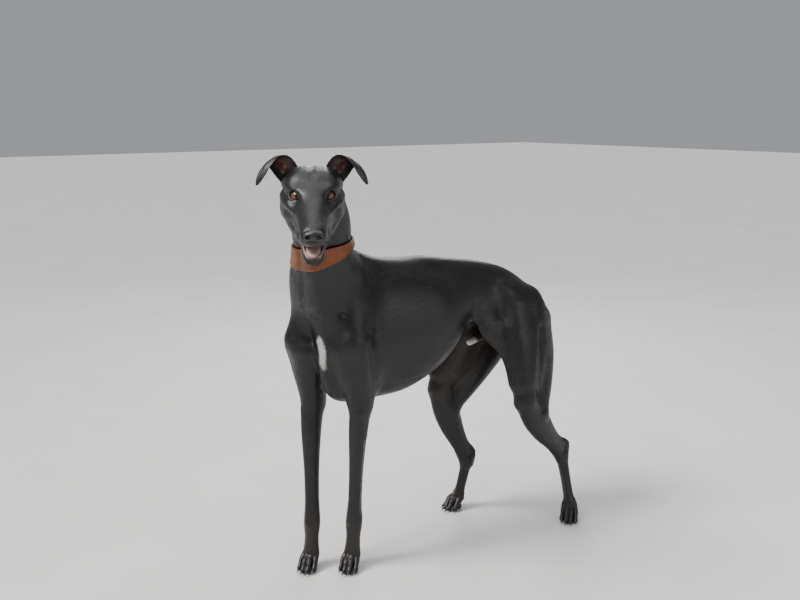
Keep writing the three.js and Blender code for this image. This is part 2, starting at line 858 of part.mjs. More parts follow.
// Draws one edge together where the skin stays closed and keeps its shape
function drawTogether(skin, a, b) {
  const { points, faces, around } = skin;
  const shared = [...around[a]].filter((i) => around[b].has(i));
  if (shared.length !== 2) return false;
  const near = neighboursOf(skin, b);
  if ([...neighboursOf(skin, a)].filter((v) => near.has(v)).length !== 2) return false;
  let best = null;
  for (const at of [points[a], points[b], mix(points[a], points[b], 0.5)]) {
    const onFloor = [points[a], points[b]].some((p) => Math.abs(p[2]) < 1e-4);
    if (onFloor && Math.abs(at[2]) > 1e-4) continue;
    const drift = driftOf(skin, a, b, at);
    if (drift !== null && drift < EDGE_DRIFT && (!best || drift < best.drift)) best = { at, drift };
  }
  if (!best) return false;
  points[a] = best.at;
  for (const i of shared) for (const v of faces[i]) around[v].delete(i);
  for (const i of shared) faces[i] = null;
  for (const i of around[b]) {
    faces[i] = faces[i].map((v) => (v === b ? a : v));
    around[a].add(i);
  }
  around[b].clear();
  return true;
}

// Turns the longest edge of a flat triangle the other way
function turnEdge(skin, i) {
  const { points, faces, around } = skin;
  const face = faces[i];
  const lengths = face.map((v, j) => Math.hypot(...sub(points[v], points[face[(j + 1) % 3]])));
  const j = lengths.indexOf(Math.max(...lengths));
  const [a, b, c] = [face[j], face[(j + 1) % 3], face[(j + 2) % 3]];
  const other = [...around[a]].find((k) => k !== i && around[b].has(k));
  const d = faces[other].find((v) => v !== a && v !== b);
  if (neighboursOf(skin, c).has(d)) return false;
  const one = facing(points[a], points[d], points[c]);
  const two = facing(points[d], points[b], points[c]);
  const old = facing(...faces[other].map((v) => points[v]));
  if (Math.min(one.thin, two.thin) < facing(...face.map((v) => points[v])).thin * 2) return false;
  if (dot(one.n, old.n) < 0 || dot(two.n, old.n) < 0) return false;
  faces[i] = [a, d, c];
  faces[other] = [d, b, c];
  around[a].delete(other);
  around[b].delete(i);
  around[c].add(other);
  around[d].add(i);
  return true;
}

// The same skin without the slivers that joining and cutting leave
function tidied(solid) {
  const skin = skinOf(solid);
  const { points, faces } = skin;
  for (let round = 0; round < 4; round += 1) {
    const edges = [];
    for (const face of faces) {
      if (!face) continue;
      face.forEach((a, j) => {
        const b = face[(j + 1) % 3];
        const long = Math.hypot(...sub(points[a], points[b]));
        if (a < b && long < SHORT_EDGE) edges.push([long, a, b]);
      });
    }
    edges.sort((p, q) => p[0] - q[0]);
    for (const [, a, b] of edges) drawTogether(skin, a, b);
    faces.forEach((face, i) => {
      if (!faces[i]) return;
      if (facing(...faces[i].map((v) => points[v])).thin < THIN_FACE) turnEdge(skin, i);
    });
  }
  return { points, faces: faces.filter((face) => face) };
}

const PARTS = {};

// Parts the body with thin cuts and names the pieces
function buildNodes() {
  const groin = buildGroin();
  let whole = unionAll([...buildBody(), ...groin]);
  const feet = {};
  for (const s of [LEFT, RIGHT]) {
    feet[`fore${s}`] = footParts(POSE.fore[s]);
    feet[`hind${s}`] = footParts(POSE.hind[s]);
  }
  for (const foot of Object.values(feet)) {
    whole = whole.add(unionAll(foot.toes)).subtract(unionAll(foot.sockets));
  }
  whole = whole.subtract(block([60, 0, -50], [1200, 1200, 100], [1, 0, 0], [0, 1, 0]));
  whole = whole.add(tube(TAIL_ROWS, [1, 0, 0], 10, 2, 2));
  const cuts = [];
  for (const s of [LEFT, RIGHT]) {
    const { elbow } = POSE.fore[s];
    cuts.push(block([elbow[0], elbow[1], 378], [100, 92, GAP], [0.9, 0.43, 0], [-0.43, 0.9, 0]));
    const { hip, out } = POSE.hind[s];
    const low = [33 + 28 * s, hip[1], 434];
    const high = along(hip, [out, 38], [[0, 0, 1], 20]);
    const rise = sub(high, low);
    const size = [Math.hypot(...rise) * 1.5, 292, GAP];
    cuts.push(block(along(mix(low, high, 0.6), [[0, 1, 0], -51]), size, rise, [0, 1, 0]));
  }
  const neckDir = unit(sub(NECK_ROWS[2], NECK_ROWS[1]).slice(0, 3));
  const neckAt = along(NECK_ROWS[1].slice(0, 3), [neckDir, 4]);
  cuts.push(block(neckAt, [260, 260, GAP], NECK_SIDE, cross(neckDir, NECK_SIDE)));
  cuts.push(block([40, 344, 494], [36, 42, GAP], [1, 0, 0], [0, 1, 0]));
  const parts = whole.subtract(unionAll(cuts)).decompose();
  PARTS.torso = pieceNear(parts, [10, 0, 560]);
  PARTS.neck = pieceNear(parts, [50, -325, 760]);
  PARTS.tail = pieceNear(parts, [36, 360, 330]);
  for (const s of [LEFT, RIGHT]) {
    const word = s === LEFT ? 'left' : 'right';
    PARTS[`foreleg_${word}`] = pieceNear(parts, mix(POSE.fore[s].elbow, POSE.fore[s].foot, 0.5));
    PARTS[`hindleg_${word}`] = pieceNear(parts, mix(POSE.hind[s].hip, POSE.hind[s].foot, 0.5));
    feet[`fore${s}`].claws.forEach((claw, i) => {
      PARTS[`claw_fore_${word}_${i + 1}`] = claw;
    });
    feet[`hind${s}`].claws.forEach((claw, i) => {
      PARTS[`claw_hind_${word}_${i + 1}`] = claw;
    });
  }
}

// Head with nose, jaw, tongue, eyes and ears
function buildHead() {
  const field = blended(headForms());
  const line = [-92, -80, -66, -52, -38, -24, -12, 0, 12, 26, 42, 58, 74, 90, 104, 116];
  const rows = line.map((a) => onHead(a, 0, -12 - Math.max(0, a) * 0.16));
  let head = sweep(field, rows, HEAD.left, 28, [2, 2]);
  const jawRows = inHead(JAW_ROWS);
  let jaw = tube(jawRows, HEAD.left, 16, 1, 2);
  const mouth = inHead([
    [-6, 0, -58, 12, 5],
    [30, 0, -58, 17, 8],
    [60, 0, -61, 17, 12],
    [90, 0, -66, 15, 16],
    [125, 0, -72, 16, 20],
  ]);
  const hollow = tube(mouth, HEAD.left, 16, 2, 1);
  head = head.subtract(hollow);
  jaw = jaw.subtract(hollow);
  for (const s of [LEFT, RIGHT]) {
    const eye = EYES[s];
    head = head.add(ball(eye, EYE_RADIUS + LID_DEPTH, 18));
  }
  for (const s of [LEFT, RIGHT]) {
    const eye = EYES[s];
    head = head.subtract(ball(eye, EYE_RADIUS + GAP * 2, 14));
    const look = unit(along([0, 0, 0], [HEAD.ahead, 0.86], [HEAD.left, 0.5 * s]));
    const across = unit(cross(HEAD.up, look));
    const slit = [
      [...along(eye, [look, 6.4]), 7.8, 4.9],
      [...along(eye, [look, 17]), 11.1, 7.4],
    ];
    head = head.subtract(tube(slit, across, 14, 1, 0));
    PARTS[`eye_${s === LEFT ? 'left' : 'right'}`] = ball(eye, EYE_RADIUS, 14);
  }
  const noseCut = block(onHead(117, 0, -28), [GAP, 90, 90], HEAD.ahead, HEAD.left);
  const neckEnd = unit(sub(NECK_ROWS[5], NECK_ROWS[4]).slice(0, 3));
  const behind = along(NECK_ROWS[5].slice(0, 3), [neckEnd, -6]);
  const split = block(along(behind, [neckEnd, -100]), [200, 200, 200], neckEnd, NECK_SIDE);
  const fore = block(along(behind, [neckEnd, 200 - GAP]), [400, 400, 400], neckEnd, NECK_SIDE);
  const jawRoom = jawRows.map(([x, y, z, a, b]) => [x, y, z, a + GAP, b + GAP]);
  PARTS.neck = largest(PARTS.neck.subtract(fore).subtract(tube(jawRoom, HEAD.left, 16, 1, 2)));
  head = head.add(tube(inHead([[-96, 0, -24, 44, 44], [-70, 0, -20, 46, 44]]), HEAD.left, 20, 1, 2));
  head = head.subtract(split);
  const lean = unit(along([0, 0, 0], [HEAD.ahead, 1], [HEAD.up, -0.12]));
  const lift = cross(lean, HEAD.left);
  const hinge = onHead(-58, 0, -44);
  const above = block(along(hinge, [lift, 100]), [400, 200, 200], lean, HEAD.left);
  const rear = block(along(hinge, [lean, -100]), [200, 200, 400], lean, HEAD.left);
  const corner = along(hinge, [lean, 100 - GAP], [lift, -100 + GAP]);
  head = head.subtract(block(corner, [200, 200, 200], lean, HEAD.left));
  const pieces = head.subtract(noseCut).decompose();
  PARTS.head = pieceNear(pieces, onHead(0, 0, -10));
  PARTS.nose = pieceNear(pieces, onHead(126, 0, -28));
  PARTS.jaw_lower = largest(jaw.subtract(above).subtract(rear));
  const tongue = (grow) => tube(inHead([
    [10, 0, -60, 12 + grow, 3 + grow],
    [50, 0, -67.5, 12 + grow, 3.4 + grow],
    [84, 0, -75, 10 + grow, 3 + grow],
  ]), HEAD.left, 12, 2, 1);
  PARTS.jaw_lower = largest(PARTS.jaw_lower.subtract(tongue(GAP)));
  PARTS.head = largest(PARTS.head.subtract(tongue(GAP)));
  PARTS.tongue = tongue(0);
}

// Ear rows, before the head's scale: ahead, out to its side, up, half width, cup
const EAR_ROWS = [
  [-80, 38, 8, 21, 9],
  [-82, 47, 24, 24, 10],
  [-79, 57, 38, 23, 8],
  [-70, 69, 42, 20, 6],
  [-60, 82, 34, 15, 4],
  [-53, 92, 20, 9, 2],
  [-50, 99, 6, 2.5, 0.5],
];

// One ear: a cupped sheet that rises, then folds out and down to its tip
function buildEar(s) {
  const spine = smoothRows(EAR_ROWS, 2);
  const count = 7;
  const front = [];
  const back = [];
  spine.forEach(([a, b, c, wide, cup], i) => {
    const before = spine[Math.max(0, i - 1)];
    const after = spine[Math.min(spine.length - 1, i + 1)];
    const t = unit(sub(after, before).slice(0, 3));
    const across = unit(sub(EAR_ACROSS, mul(t, dot(EAR_ACROSS, t))));
    const deep = cross(t, across);
    for (let j = 0; j <= count; j += 1) {
      const w = (2 * j) / count - 1;
      const bend = cup * (1 - w * w);
      const rim = EAR_THICK * Math.sqrt(Math.max(0.12, 1 - w * w * 0.8));
      const p = along([a, b, c], [across, w * wide], [deep, -bend]);
      const q = along(p, [deep, -rim]);
      front.push(onHead(p[0], p[1] * s, p[2]));
      back.push(onHead(q[0], q[1] * s, q[2]));
    }
  });
  const rings = [];
  const n = count + 1;
  for (let i = 0; i < spine.length; i += 1) {
    const fore = front.slice(i * n, i * n + n);
    const rear = back.slice(i * n, i * n + n).reverse();
    rings.push([...fore, ...rear]);
  }
  const mid = (ring) => mul(ring.reduce((a, b) => add(a, b)), 1 / ring.length);
  return skinRings(rings, mid(rings[0]), mid(rings[rings.length - 1]));
}

// Wide leather collar round the neck, narrower behind
function buildCollar() {
  const shoulders = [...shoulderForms(LEFT), ...shoulderForms(RIGHT)];
  const field = blended([...barrelForms(), ...shoulders, ...neckForms()]);
  const t = unit(COLLAR_NORMAL);
  const s = unit(sub(NECK_SIDE, mul(t, dot(NECK_SIDE, t))));
  const n = cross(t, s);
  const mid = mix(NECK_ROWS[2], NECK_ROWS[3], 0.8).slice(0, 3);
  const sides = 32;
  const layers = 3;
  const points = [];
  for (let j = 0; j < sides; j += 1) {
    const turn = (2 * Math.PI * j) / sides;
    const dir = add(mul(s, Math.cos(turn)), mul(n, Math.sin(turn)));
    const under = 0.5 + 0.5 * Math.cos(turn - COLLAR_WIDEST);
    const half = COLLAR_NARROW + COLLAR_SWELL * under ** 1.2;
    const loop = [];
    for (let i = 0; i < layers; i += 1) {
      const c = along(mid, [t, -half + (2 * half * i) / (layers - 1)]);
      const r = leave(field, c, dir, 200) + COLLAR_CLEAR;
      loop.push([c, r]);
    }
    const ring = loop.map(([c, r]) => along(c, [dir, r]));
    for (const [c, r] of loop.reverse()) ring.push(along(c, [dir, r + COLLAR_THICK]));
    points.push(ring);
  }
  const list = points.flat();
  const m = layers * 2;
  const faces = [];
  for (let j = 0; j < sides; j += 1) {
    const k = (j + 1) % sides;
    for (let i = 0; i < m; i += 1) {
      const a = j * m + i;
      const b = j * m + ((i + 1) % m);
      const c = k * m + i;
      const d = k * m + ((i + 1) % m);
      faces.push([a, b, d], [a, d, c]);
    }
  }
  return solidOf(list, faces);
}

buildNodes();
buildHead();
for (const s of [LEFT, RIGHT]) {
  const word = s === LEFT ? 'left' : 'right';
  const out = unit(along([0, 0, 0], [HEAD.up, 0.7], [HEAD.left, 0.7 * s]));
  const ear = buildEar(s).subtract(PARTS.head);
  PARTS[`ear_${word}`] = largest(ear).translate(mul(out, GAP));
}
PARTS.collar = buildCollar();

// Colour, roughness and metalness of each finish, and the finish of each node that isn't coat
const FINISHES = {
  coat: [0x1b1a1b, 0.45, 0],
  claw: [0x2a2624, 0.35, 0],
  eye: [0x7a4a1c, 0.08, 0],
  nose: [0x0d0c0d, 0.3, 0],
  tongue: [0xc98a86, 0.4, 0],
  collar: [0xa8541a, 0.55, 0],
};

function finishOf(name) {
  const word = name.split('_')[0];
  return FINISHES[word] ?? FINISHES.coat;
}

const group = new THREE.Group();
group.name = 'greyhound';
for (const [name, solid] of Object.entries(PARTS)) {
  const { points, faces } = tidied(solid);
  const geometry = new THREE.BufferGeometry();
  const flat = new Float32Array(points.map((p) => add(p, SHIFT)).flat());
  geometry.setAttribute('position', new THREE.BufferAttribute(flat, 3));
  geometry.setIndex(new THREE.BufferAttribute(new Uint32Array(faces.flat()), 1));
  const plain = geometry.toNonIndexed();
  const skin = mergeVertices(plain);
  skin.computeVertexNormals();
  const [color, roughness, metalness] = finishOf(name);
  const finish = new THREE.MeshStandardMaterial({ color, roughness, metalness });
  const mesh = new THREE.Mesh(skin, finish);
  mesh.name = name;
  group.add(mesh);
}

export default group;
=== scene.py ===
# Looks of a life-size standing greyhound: one skin of flesh, short coat, head details, collar.
# Shapes are worked out in millimetres, as the dog stands, and moved into the frame in metres.
import math
from concurrent.futures import ThreadPoolExecutor

import bpy
import numpy as np
from mathutils import Matrix, Vector


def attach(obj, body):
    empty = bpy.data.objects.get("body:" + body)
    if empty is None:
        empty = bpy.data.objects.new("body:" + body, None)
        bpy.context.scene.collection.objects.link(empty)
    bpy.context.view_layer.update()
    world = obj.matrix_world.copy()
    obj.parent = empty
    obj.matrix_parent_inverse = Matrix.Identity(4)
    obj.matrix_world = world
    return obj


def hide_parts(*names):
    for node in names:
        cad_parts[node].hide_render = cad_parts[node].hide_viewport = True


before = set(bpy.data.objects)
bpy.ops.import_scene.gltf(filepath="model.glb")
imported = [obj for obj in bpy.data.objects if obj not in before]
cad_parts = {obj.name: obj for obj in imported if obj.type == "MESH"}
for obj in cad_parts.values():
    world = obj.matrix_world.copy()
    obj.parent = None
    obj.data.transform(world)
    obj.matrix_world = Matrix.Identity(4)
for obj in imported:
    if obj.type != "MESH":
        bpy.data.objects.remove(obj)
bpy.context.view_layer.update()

SHIFT = np.array([-101.8, 54.1, 0.0])
INSET = 1.0
LEFT, RIGHT = 1, -1
WORD = {LEFT: "left", RIGHT: "right"}
SEED = 7

WITHERS = [0, -222, 706]
FORE = {
    LEFT: dict(shoulder=[73, -264, 546], elbow=[52, -236, 394], carpus=[29, -240, 112],
               knuckle=[27, -244, 40], foot=[31, -252, 0], out=[0.9, 0.43, 0],
               ahead=[0.62, -0.785, 0]),
    RIGHT: dict(shoulder=[-48, -322, 536], elbow=[-48, -297, 385], carpus=[-33, -314, 110],
                knuckle=[-32, -318, 40], foot=[-28, -326, 0], out=[-0.9, -0.43, 0],
                ahead=[0.62, -0.785, 0]),
}
HIND = {
    LEFT: dict(hip=[84, 256, 545], knee=[122, 206, 336], hock=[112, 353, 160],
               knuckle=[146, 353, 40], foot=[158, 341, 0], out=[1, 0.05, 0], ahead=[0.6, -0.8, 0]),
    RIGHT: dict(hip=[-18, 244, 545], knee=[-70, 90, 340], hock=[-48, 168, 136],
                knuckle=[-67, 158, 37], foot=[-72, 150, 0], out=[-1, -0.05, 0], ahead=[0.12, -0.99, 0]),
}
HEAD_AT = np.array([180.7, -426.3, 876.1])
HEAD_SIZE = 1.06
AHEAD = np.array([0.8353, -0.5112, -0.2028])
SIDE = np.array([0.522, 0.853, 0.0])
UP = np.array([0.173, -0.1059, 0.9793])
EYE_RADIUS = 11.2
EYE_PLACE = (-3.8, 27.6, -0.4)
NECK_SIDE = [0.73, 0.69, 0]
NECK_ROWS = [
    [-2, -236, 616, 72, 92],
    [4, -282, 664, 75, 84],
    [28, -306, 714, 67, 73],
    [53, -326, 764, 60, 66],
    [78, -346, 812, 60, 62],
    [94, -366, 854, 56, 58],
]
COLLAR_AT = np.array([48, -322, 754.0])
COLLAR_NORMAL = np.array([0.014, -0.249, 0.955])
COLLAR_NARROW = 8
COLLAR_SWELL = 17.5
COLLAR_WIDEST = math.radians(235)
COLLAR_THICK = 3.2
COLLAR_LIFT = 1.7
STITCH_STEP = 4.0
STITCH_INSET = 2.6
# The place that the eyes are turned to, and how much of their turn it takes
GAZE_AT = [1617, -1305, 1033]
GAZE_SHARE = 0.8
HAIR_ON_BODY, HAIR_ON_NECK, HAIR_ON_FACE, HAIR_ON_LEGS = 8.0, 6.5, 3.4, 4.5
FINE_HAIR, COARSE_HAIR = 0.5, 0.85
HEAD_TUFTS, BODY_TUFTS = 52000, 62000
TUFT_PATCH = 0.0015
ATLAS_COLUMNS = 6


# Vector helpers
def vec(v):
    return np.array(v, float)


def unit(v):
    v = vec(v)
    return v / np.linalg.norm(v)


def mix(a, b, t):
    return vec(a) + (vec(b) - vec(a)) * t


def along(p, *moves):
    q = vec(p).copy()
    for v, s in moves:
        q = q + vec(v) * s
    return q


def on_head(a, b, c):
    return HEAD_AT + HEAD_SIZE * (a * AHEAD + b * SIDE + c * UP)


def in_head(rows, s=1):
    return [[*on_head(a, b * s, c), w * HEAD_SIZE, h * HEAD_SIZE] for a, b, c, w, h in rows]


def to_head(p):
    q = (p - HEAD_AT) / HEAD_SIZE
    return np.stack([q @ AHEAD, q @ SIDE, q @ UP], axis=1)


Z = [0, 0, 1]


# Rows joined by a smooth curve, with the given number of steps between each two
def smooth_rows(rows, steps):
    rows = np.array(rows, float)
    out = []
    n = len(rows)
    for i in range(n - 1):
        p, q = rows[max(0, i - 1)], rows[i]
        r, s = rows[i + 1], rows[min(n - 1, i + 2)]
        a, b = (r - p) / 2, (s - q) / 2
        for j in range(steps):
            t = j / steps
            turn = 3 * (r - q) - 2 * a - b
            close = 2 * (q - r) + a + b
            out.append(q + t * (a + t * (turn + t * close)))
    out.append(rows[-1])
    return np.array(out)


# A limb of flesh, or a groove cut from it: rows of x, y, z, half width along side, half width across
def chain(rows, side, blend, cut=False, steps=3):
    line = smooth_rows(rows, steps)
    p, q = line[:-1], line[1:]
    step = q[:, :3] - p[:, :3]
    length = np.linalg.norm(step, axis=1)
    t = step / length[:, None]
    s = vec(side) - t * (t @ vec(side))[:, None]
    s /= np.linalg.norm(s, axis=1)[:, None]
    wide = line[:, 3:5].max(axis=1)[:, None]
    return dict(p=p, q=q, t=t, s=s, n=np.cross(t, s), length=length, blend=blend, cut=cut,
                low=(line[:, :3] - wide).min(axis=0), high=(line[:, :3] + wide).max(axis=0))


def chain_distance(form, pts):
    best = np.full(len(pts), 1e9, np.float32)
    for i in range(len(form["p"])):
        p, q = form["p"][i], form["q"][i]
        d = pts - p[:3].astype(np.float32)
        run = d @ form["t"][i].astype(np.float32)
        w = np.clip(run / form["length"][i], 0, 1)
        a = p[3] + (q[3] - p[3]) * w
        b = p[4] + (q[4] - p[4]) * w
        c = np.minimum(a, b)
        u = d @ form["s"][i].astype(np.float32) / a
        v = d @ form["n"][i].astype(np.float32) / b
        h = (run - w * form["length"][i]) / c
        k0 = np.sqrt(u * u + v * v + h * h)
        k1 = np.sqrt((u / a) ** 2 + (v / b) ** 2 + (h / c) ** 2)
        e = np.where(k1 < 1e-9, -c, k0 * (k0 - 1) / np.maximum(k1, 1e-9))
        np.minimum(best, e, out=best)
    return best


FAR = 40.0


# One smooth field from forms joined and cut in their order
def field_of(forms, pts):
    pts = pts.astype(np.float32)
    d = np.full(len(pts), FAR, np.float32)
    for form in forms:
        k = form["blend"]
        gap = np.maximum(np.maximum(form["low"] - pts, pts - form["high"]), 0)
        away = np.sqrt((gap * gap).sum(axis=1))
        near = away < (k - d if form["cut"] else d + k)
        if not near.any():
            continue
        e = chain_distance(form, pts[near])
        old = d[near]
        if form["cut"]:
            e = -e
            soft = np.maximum(k - np.abs(old - e), 0) / k
            d[near] = np.maximum(old, e) + soft * soft * k * 0.25
        else:
            soft = np.maximum(k - np.abs(old - e), 0) / k
            d[near] = np.minimum(old, e) - soft * soft * k * 0.25
    return d


# Flesh of the barrel
def barrel_forms():
    side = [1, 0, 0]
    barrel = [
        [26, -284, 546, 42, 54], [17, -256, 553, 60, 100], [8, -212, 556, 76, 138],
        [3, -150, 552, 88, 148], [2, -84, 550, 93, 147], [2, -30, 562, 92, 130],
        [2, 19, 584, 80, 96], [4, 75, 597, 68, 78], [9, 130, 594, 60, 70],
        [17, 185, 588, 57, 62], [26, 240, 570, 54, 50], [36, 284, 542, 43, 36],
        [40, 306, 524, 29, 28],
    ]
    ridge = [
        [0, -225, 708, 26, 24], [0, -156, 688, 26, 23], [0, -92, 680, 26, 21],
        [1, -31, 681, 26, 23], [5, 61, 666, 25, 22], [12, 148, 648, 26, 23],
        [20, 217, 624, 24, 21], [30, 280, 572, 21, 17], [37, 310, 538, 16, 13],
    ]
    keel = [
        [27, -292, 508, 25, 34], [17, -272, 446, 27, 34], [9, -236, 424, 28, 30],
        [5, -165, 420, 30, 26], [3, -95, 424, 28, 24], [2, -40, 456, 26, 20],
        [2, 10, 504, 22, 16],
    ]
    return [
        chain(barrel, side, 10, steps=7),
        chain(ridge, side, 30, steps=5),
        chain(keel, side, 30, steps=6),
    ]


# Rows of a form from a table: place along the joints (1.5 is halfway from the second to the third),
# moves along the three axes, then the two half widths
def limb(joints, axes, table):
    rows = []
    for place, *moves, wide, deep in table:
        i = min(int(place), len(joints) - 2)
        rows.append([*along(mix(joints[i], joints[i + 1], place - i), *zip(axes, moves)), wide, deep])
    return rows


def joints_of(leg, *names):
    return [vec(leg[n]) for n in names]


# Shoulder blade, upper arm, chest muscle and neck strap of one side
def shoulder_forms(s):
    leg = FORE[s]
    shoulder, elbow, out = joints_of(leg, "shoulder", "elbow", "out")
    fore = unit(np.cross(out, [0, 0, s]))
    axes = (out, fore, Z)
    top = along(WITHERS, (out, 20), (fore, -10))
    high, low = [top, shoulder], [shoulder, elbow]
    wide = vec(NECK_SIDE) * s * 38
    r1, r2 = vec(NECK_ROWS[1][:3]), vec(NECK_ROWS[2][:3])
    strap = [
        [*(mix(r2, r1, 0.4) + wide), 30, 34],
        [*(mix(r1, shoulder, 0.35) + wide * 0.7), 32, 36],
        [*(mix(r1, shoulder, 0.7) + wide * 0.3), 30, 34],
        [*along(shoulder, (out, -4), (Z, 14)), 28, 32],
    ]
    blade = [(0, -2, 0, 0, 13, 30), (0.4, 6, 0, 0, 20, 46), (0.75, 4, 0, 0, 24, 46), (1, 2, 0, 0, 30, 40)]
    arm = [(0, 0, -4, 0, 30, 40), (0.35, 4, -20, 0, 29, 48), (0.7, 4, -20, 0, 25, 40), (1, 0, -8, 0, 19, 27)]
    breast = [(0, -22, 16, -14, 28, 26), (0.5, -12, 8, 0, 24, 26), (0.9, -6, 4, 0, 18, 22)]
    forms = [
        chain(limb(high, axes, blade), out, 26), chain(limb(low, axes, arm), out, 22),
        chain(limb(low, axes, breast), out, 20), chain(strap, out, 24),
    ]
    # Raised edge of the blade and heads of the upper arm
    spine = [(0.15, 21, 0, 0, 5, 6), (0.5, 27, 0, 0, 5, 6), (0.8, 28, 0, 0, 6, 7)]
    head = [(0.1, 22, 10, 0, 12, 14), (0.45, 20, 6, 0, 10, 12), (0.75, 12, 6, 0, 8, 9)]
    triceps = [(0.1, 14, -42, 0, 12, 16), (0.45, 19, -38, 0, 13, 18), (0.8, 13, -26, 0, 9, 13)]
    forms.append(chain(limb(high, axes, spine), out, 14))
    return forms + [chain(limb(low, axes, rows), out, 12) for rows in (head, triceps)]


# Hip, seat and the fold of skin at the flank of one side
def hip_forms(s):
    hip, out = joints_of(HIND[s], "hip", "out")
    axes = (out, [0, -1, 0], Z)
    rump = [(0, -34, 66, 48, 26, 30), (0, -16, 18, 22, 32, 42), (0, -18, -22, -12, 30, 30),
            (0, -28, -46, -34, 20, 22)]
    bone = [(0, -26, 84, 72, 8, 8), (0, -14, 70, 62, 8, 9)]
    flank = {
        LEFT: [[58, 120, 568, 14, 34], [70, 136, 524, 15, 35], [82, 178, 480, 17, 36],
               [97, 194, 430, 19, 30], [112, 192, 384, 20, 26]],
        RIGHT: [[-56, 118, 562, 12, 28], [-62, 116, 524, 15, 36], [-66, 112, 480, 17, 36],
                [-69, 104, 430, 19, 32], [-71, 86, 384, 20, 28]],
    }[s]
    here = [hip, hip]
    forms = [chain(limb(here, axes, rump), out, 30), chain(flank, [1, 0, 0], 22)]
    forms.append(chain(limb(here, axes, bone), out, 22))
    if s == RIGHT:
        loin = [[-14, 120, 592, 34, 34], [-34, 152, 566, 30, 34], [-44, 158, 530, 28, 32]]
        forms.append(chain(loin, [1, 0, 0], 24))
    return forms


# Thigh, shank, hock and rear pastern of one side
def hind_forms(s):
    leg = HIND[s]
    hip, knee, hock, knuckle, out = joints_of(leg, "hip", "knee", "hock", "knuckle", "out")
    front = unit(np.cross(unit(knee - hip), out * s))
    shin = unit(np.cross(unit(hock - knee), out * s))
    joints = [hip, knee, hock, knuckle]
    thigh, shank, foot = (front, out, Z), (shin, out, Z), (unit(leg["ahead"]), out, Z)
    seat = along(hip, (front, -40), (out, -14), (Z, -14))
    lower = along(mix(knee, hock, 0.28), (shin, -16))
    ham = [(0, 0, 0, 0, 30, 34), (0.35, 0, 3, 0, 34, 42), (0.7, 0, 2, 0, 28, 36), (1, 0, 0, 0, 20, 24)]
    core = [(0, 0, -14, 36, 24, 34), (0, 0, -4, 0, 33, 44), (0.35, 0, 0, 0, 34, 50),
            (0.75, 0, 0, 0, 27, 36)]
    quad = [(0, 52, -12, 10, 30, 36), (0.3, 38, -2, 0, 34, 44), (0.65, 20, 2, 0, 30, 40),
            (1, 2, 0, 0, 23, 26)]
    calf = [(1, 0, 0, 0, 23, 27), (1.22, 4, 0, 0, 23, 36), (1.48, 5, 0, 0, 19, 33),
            (1.76, 5, 0, 0, 13.5, 20), (2, 4, 0, 0, 15, 18)]
    cord = [(1.45, -17, 0, 0, 9, 12), (1.75, -17, 0, 0, 6, 7), (2, -22, 0, 14, 9, 9),
            (2, -14, 0, -14, 10, 10)]
    pastern = [(2, 0, 0, 0, 15, 17), (2.3, 0, 0, 0, 13.5, 15), (2.75, 0, 0, 0, 14, 13),
               (3, 0, 0, 0, 17, 14)]
    # Kneecap, groove between the thigh muscles, tendons, web ahead of the heel cord
    cap = [(1, 20, 2, 6, 10, 10), (1, 22, 0, -10, 7, 8)]
    split = [(0.15, -4, 38, 0, 5, 5), (0.5, -8, 38, 0, 5, 5), (0.85, -18, 32, 0, 4, 4)]
    split_end = [(1.2, -20, 26, 0, 3, 3)]
    tendon = [(2, 15, 0, -4, 4, 4), (2.5, 14, 0, 0, 3.5, 3.5), (3, 13, 0, 0, 4, 4)]
    web = [(1.6, -9, 0, 0, 7, 12), (2, -8, 0, 12, 7, 10)]
    return [
        chain(limb(joints, thigh, core), out, 20),
        chain(limb(joints, thigh, quad), out, 20),
        chain(limb([seat, lower], thigh, ham), out, 24),
        chain(limb(joints, shank, calf), out, 20),
        chain(limb(joints, shank, cord), out, 12),
        chain(limb(joints, shank, pastern), out, 10),
        chain(limb(joints, thigh, cap), out, 14),
        chain(limb(joints, thigh, split) + limb(joints, shank, split_end), out, 16, True),
        chain(limb(joints, foot, tendon), out, 8),
        chain(limb(joints, shank, web), out, 10),
    ]


# Forearm, carpus and front pastern of one side
def fore_forms(s):
    shoulder, *joints, out = joints_of(FORE[s], "shoulder", "elbow", "carpus", "knuckle", "out")
    axes = (unit(np.cross(out, [0, 0, s])), out, Z)
    forearm = [(0, -6, 0, 30, 23, 32), (0, -3, 0, 0, 23, 32), (0.2, 2, 0, 0, 21, 26), (0.5, 2, 0, 0, 17, 20),
               (0.8, 0, 0, 0, 16.5, 18), (1, 0, 0, 0, 20, 20), (1.5, 0, 0, 0, 17.5, 16), (2, 0, 0, 0, 20, 16)]
    upper = [(0.45, -14, 0, 0, 26, 40), (1, -6, 0, 0, 21, 30)]
    point = [(0, -26, 0, 16, 9, 10), (0, -14, 0, -20, 10, 10)]
    stop = [(1, -16, 0, -4, 6, 6), (1, -15, 0, -16, 7, 7)]
    muscle = [(0, 18, 10, -8, 8, 10), (0.25, 16, 9, 0, 8, 9), (0.55, 12, 6, 0, 5, 6), (0.85, 13, 3, 0, 4, 4),
              (1, 17, 2, 0, 4, 4)]
    rear = [(0.35, -17, 3, 0, 6, 6), (0.7, -16, 0, 0, 4.5, 4.5), (1, -15, 0, 16, 5, 5)]
    groove = [(0.3, -5, 21, 0, 3, 3), (0.6, -5, 18, 0, 3, 3), (0.9, -5, 18, 0, 3, 3)]
    forms = [chain(limb(joints, axes, forearm), out, 10)]
    forms.append(chain(limb([shoulder, joints[0]], axes, upper), out, 14))
    for rows, blend in ((point, 14), (stop, 8), (muscle, 8), (rear, 8)):
        forms.append(chain(limb(joints, axes, rows), out, blend))
    return forms + [chain(limb(joints, axes, groove), out, 10, True)]


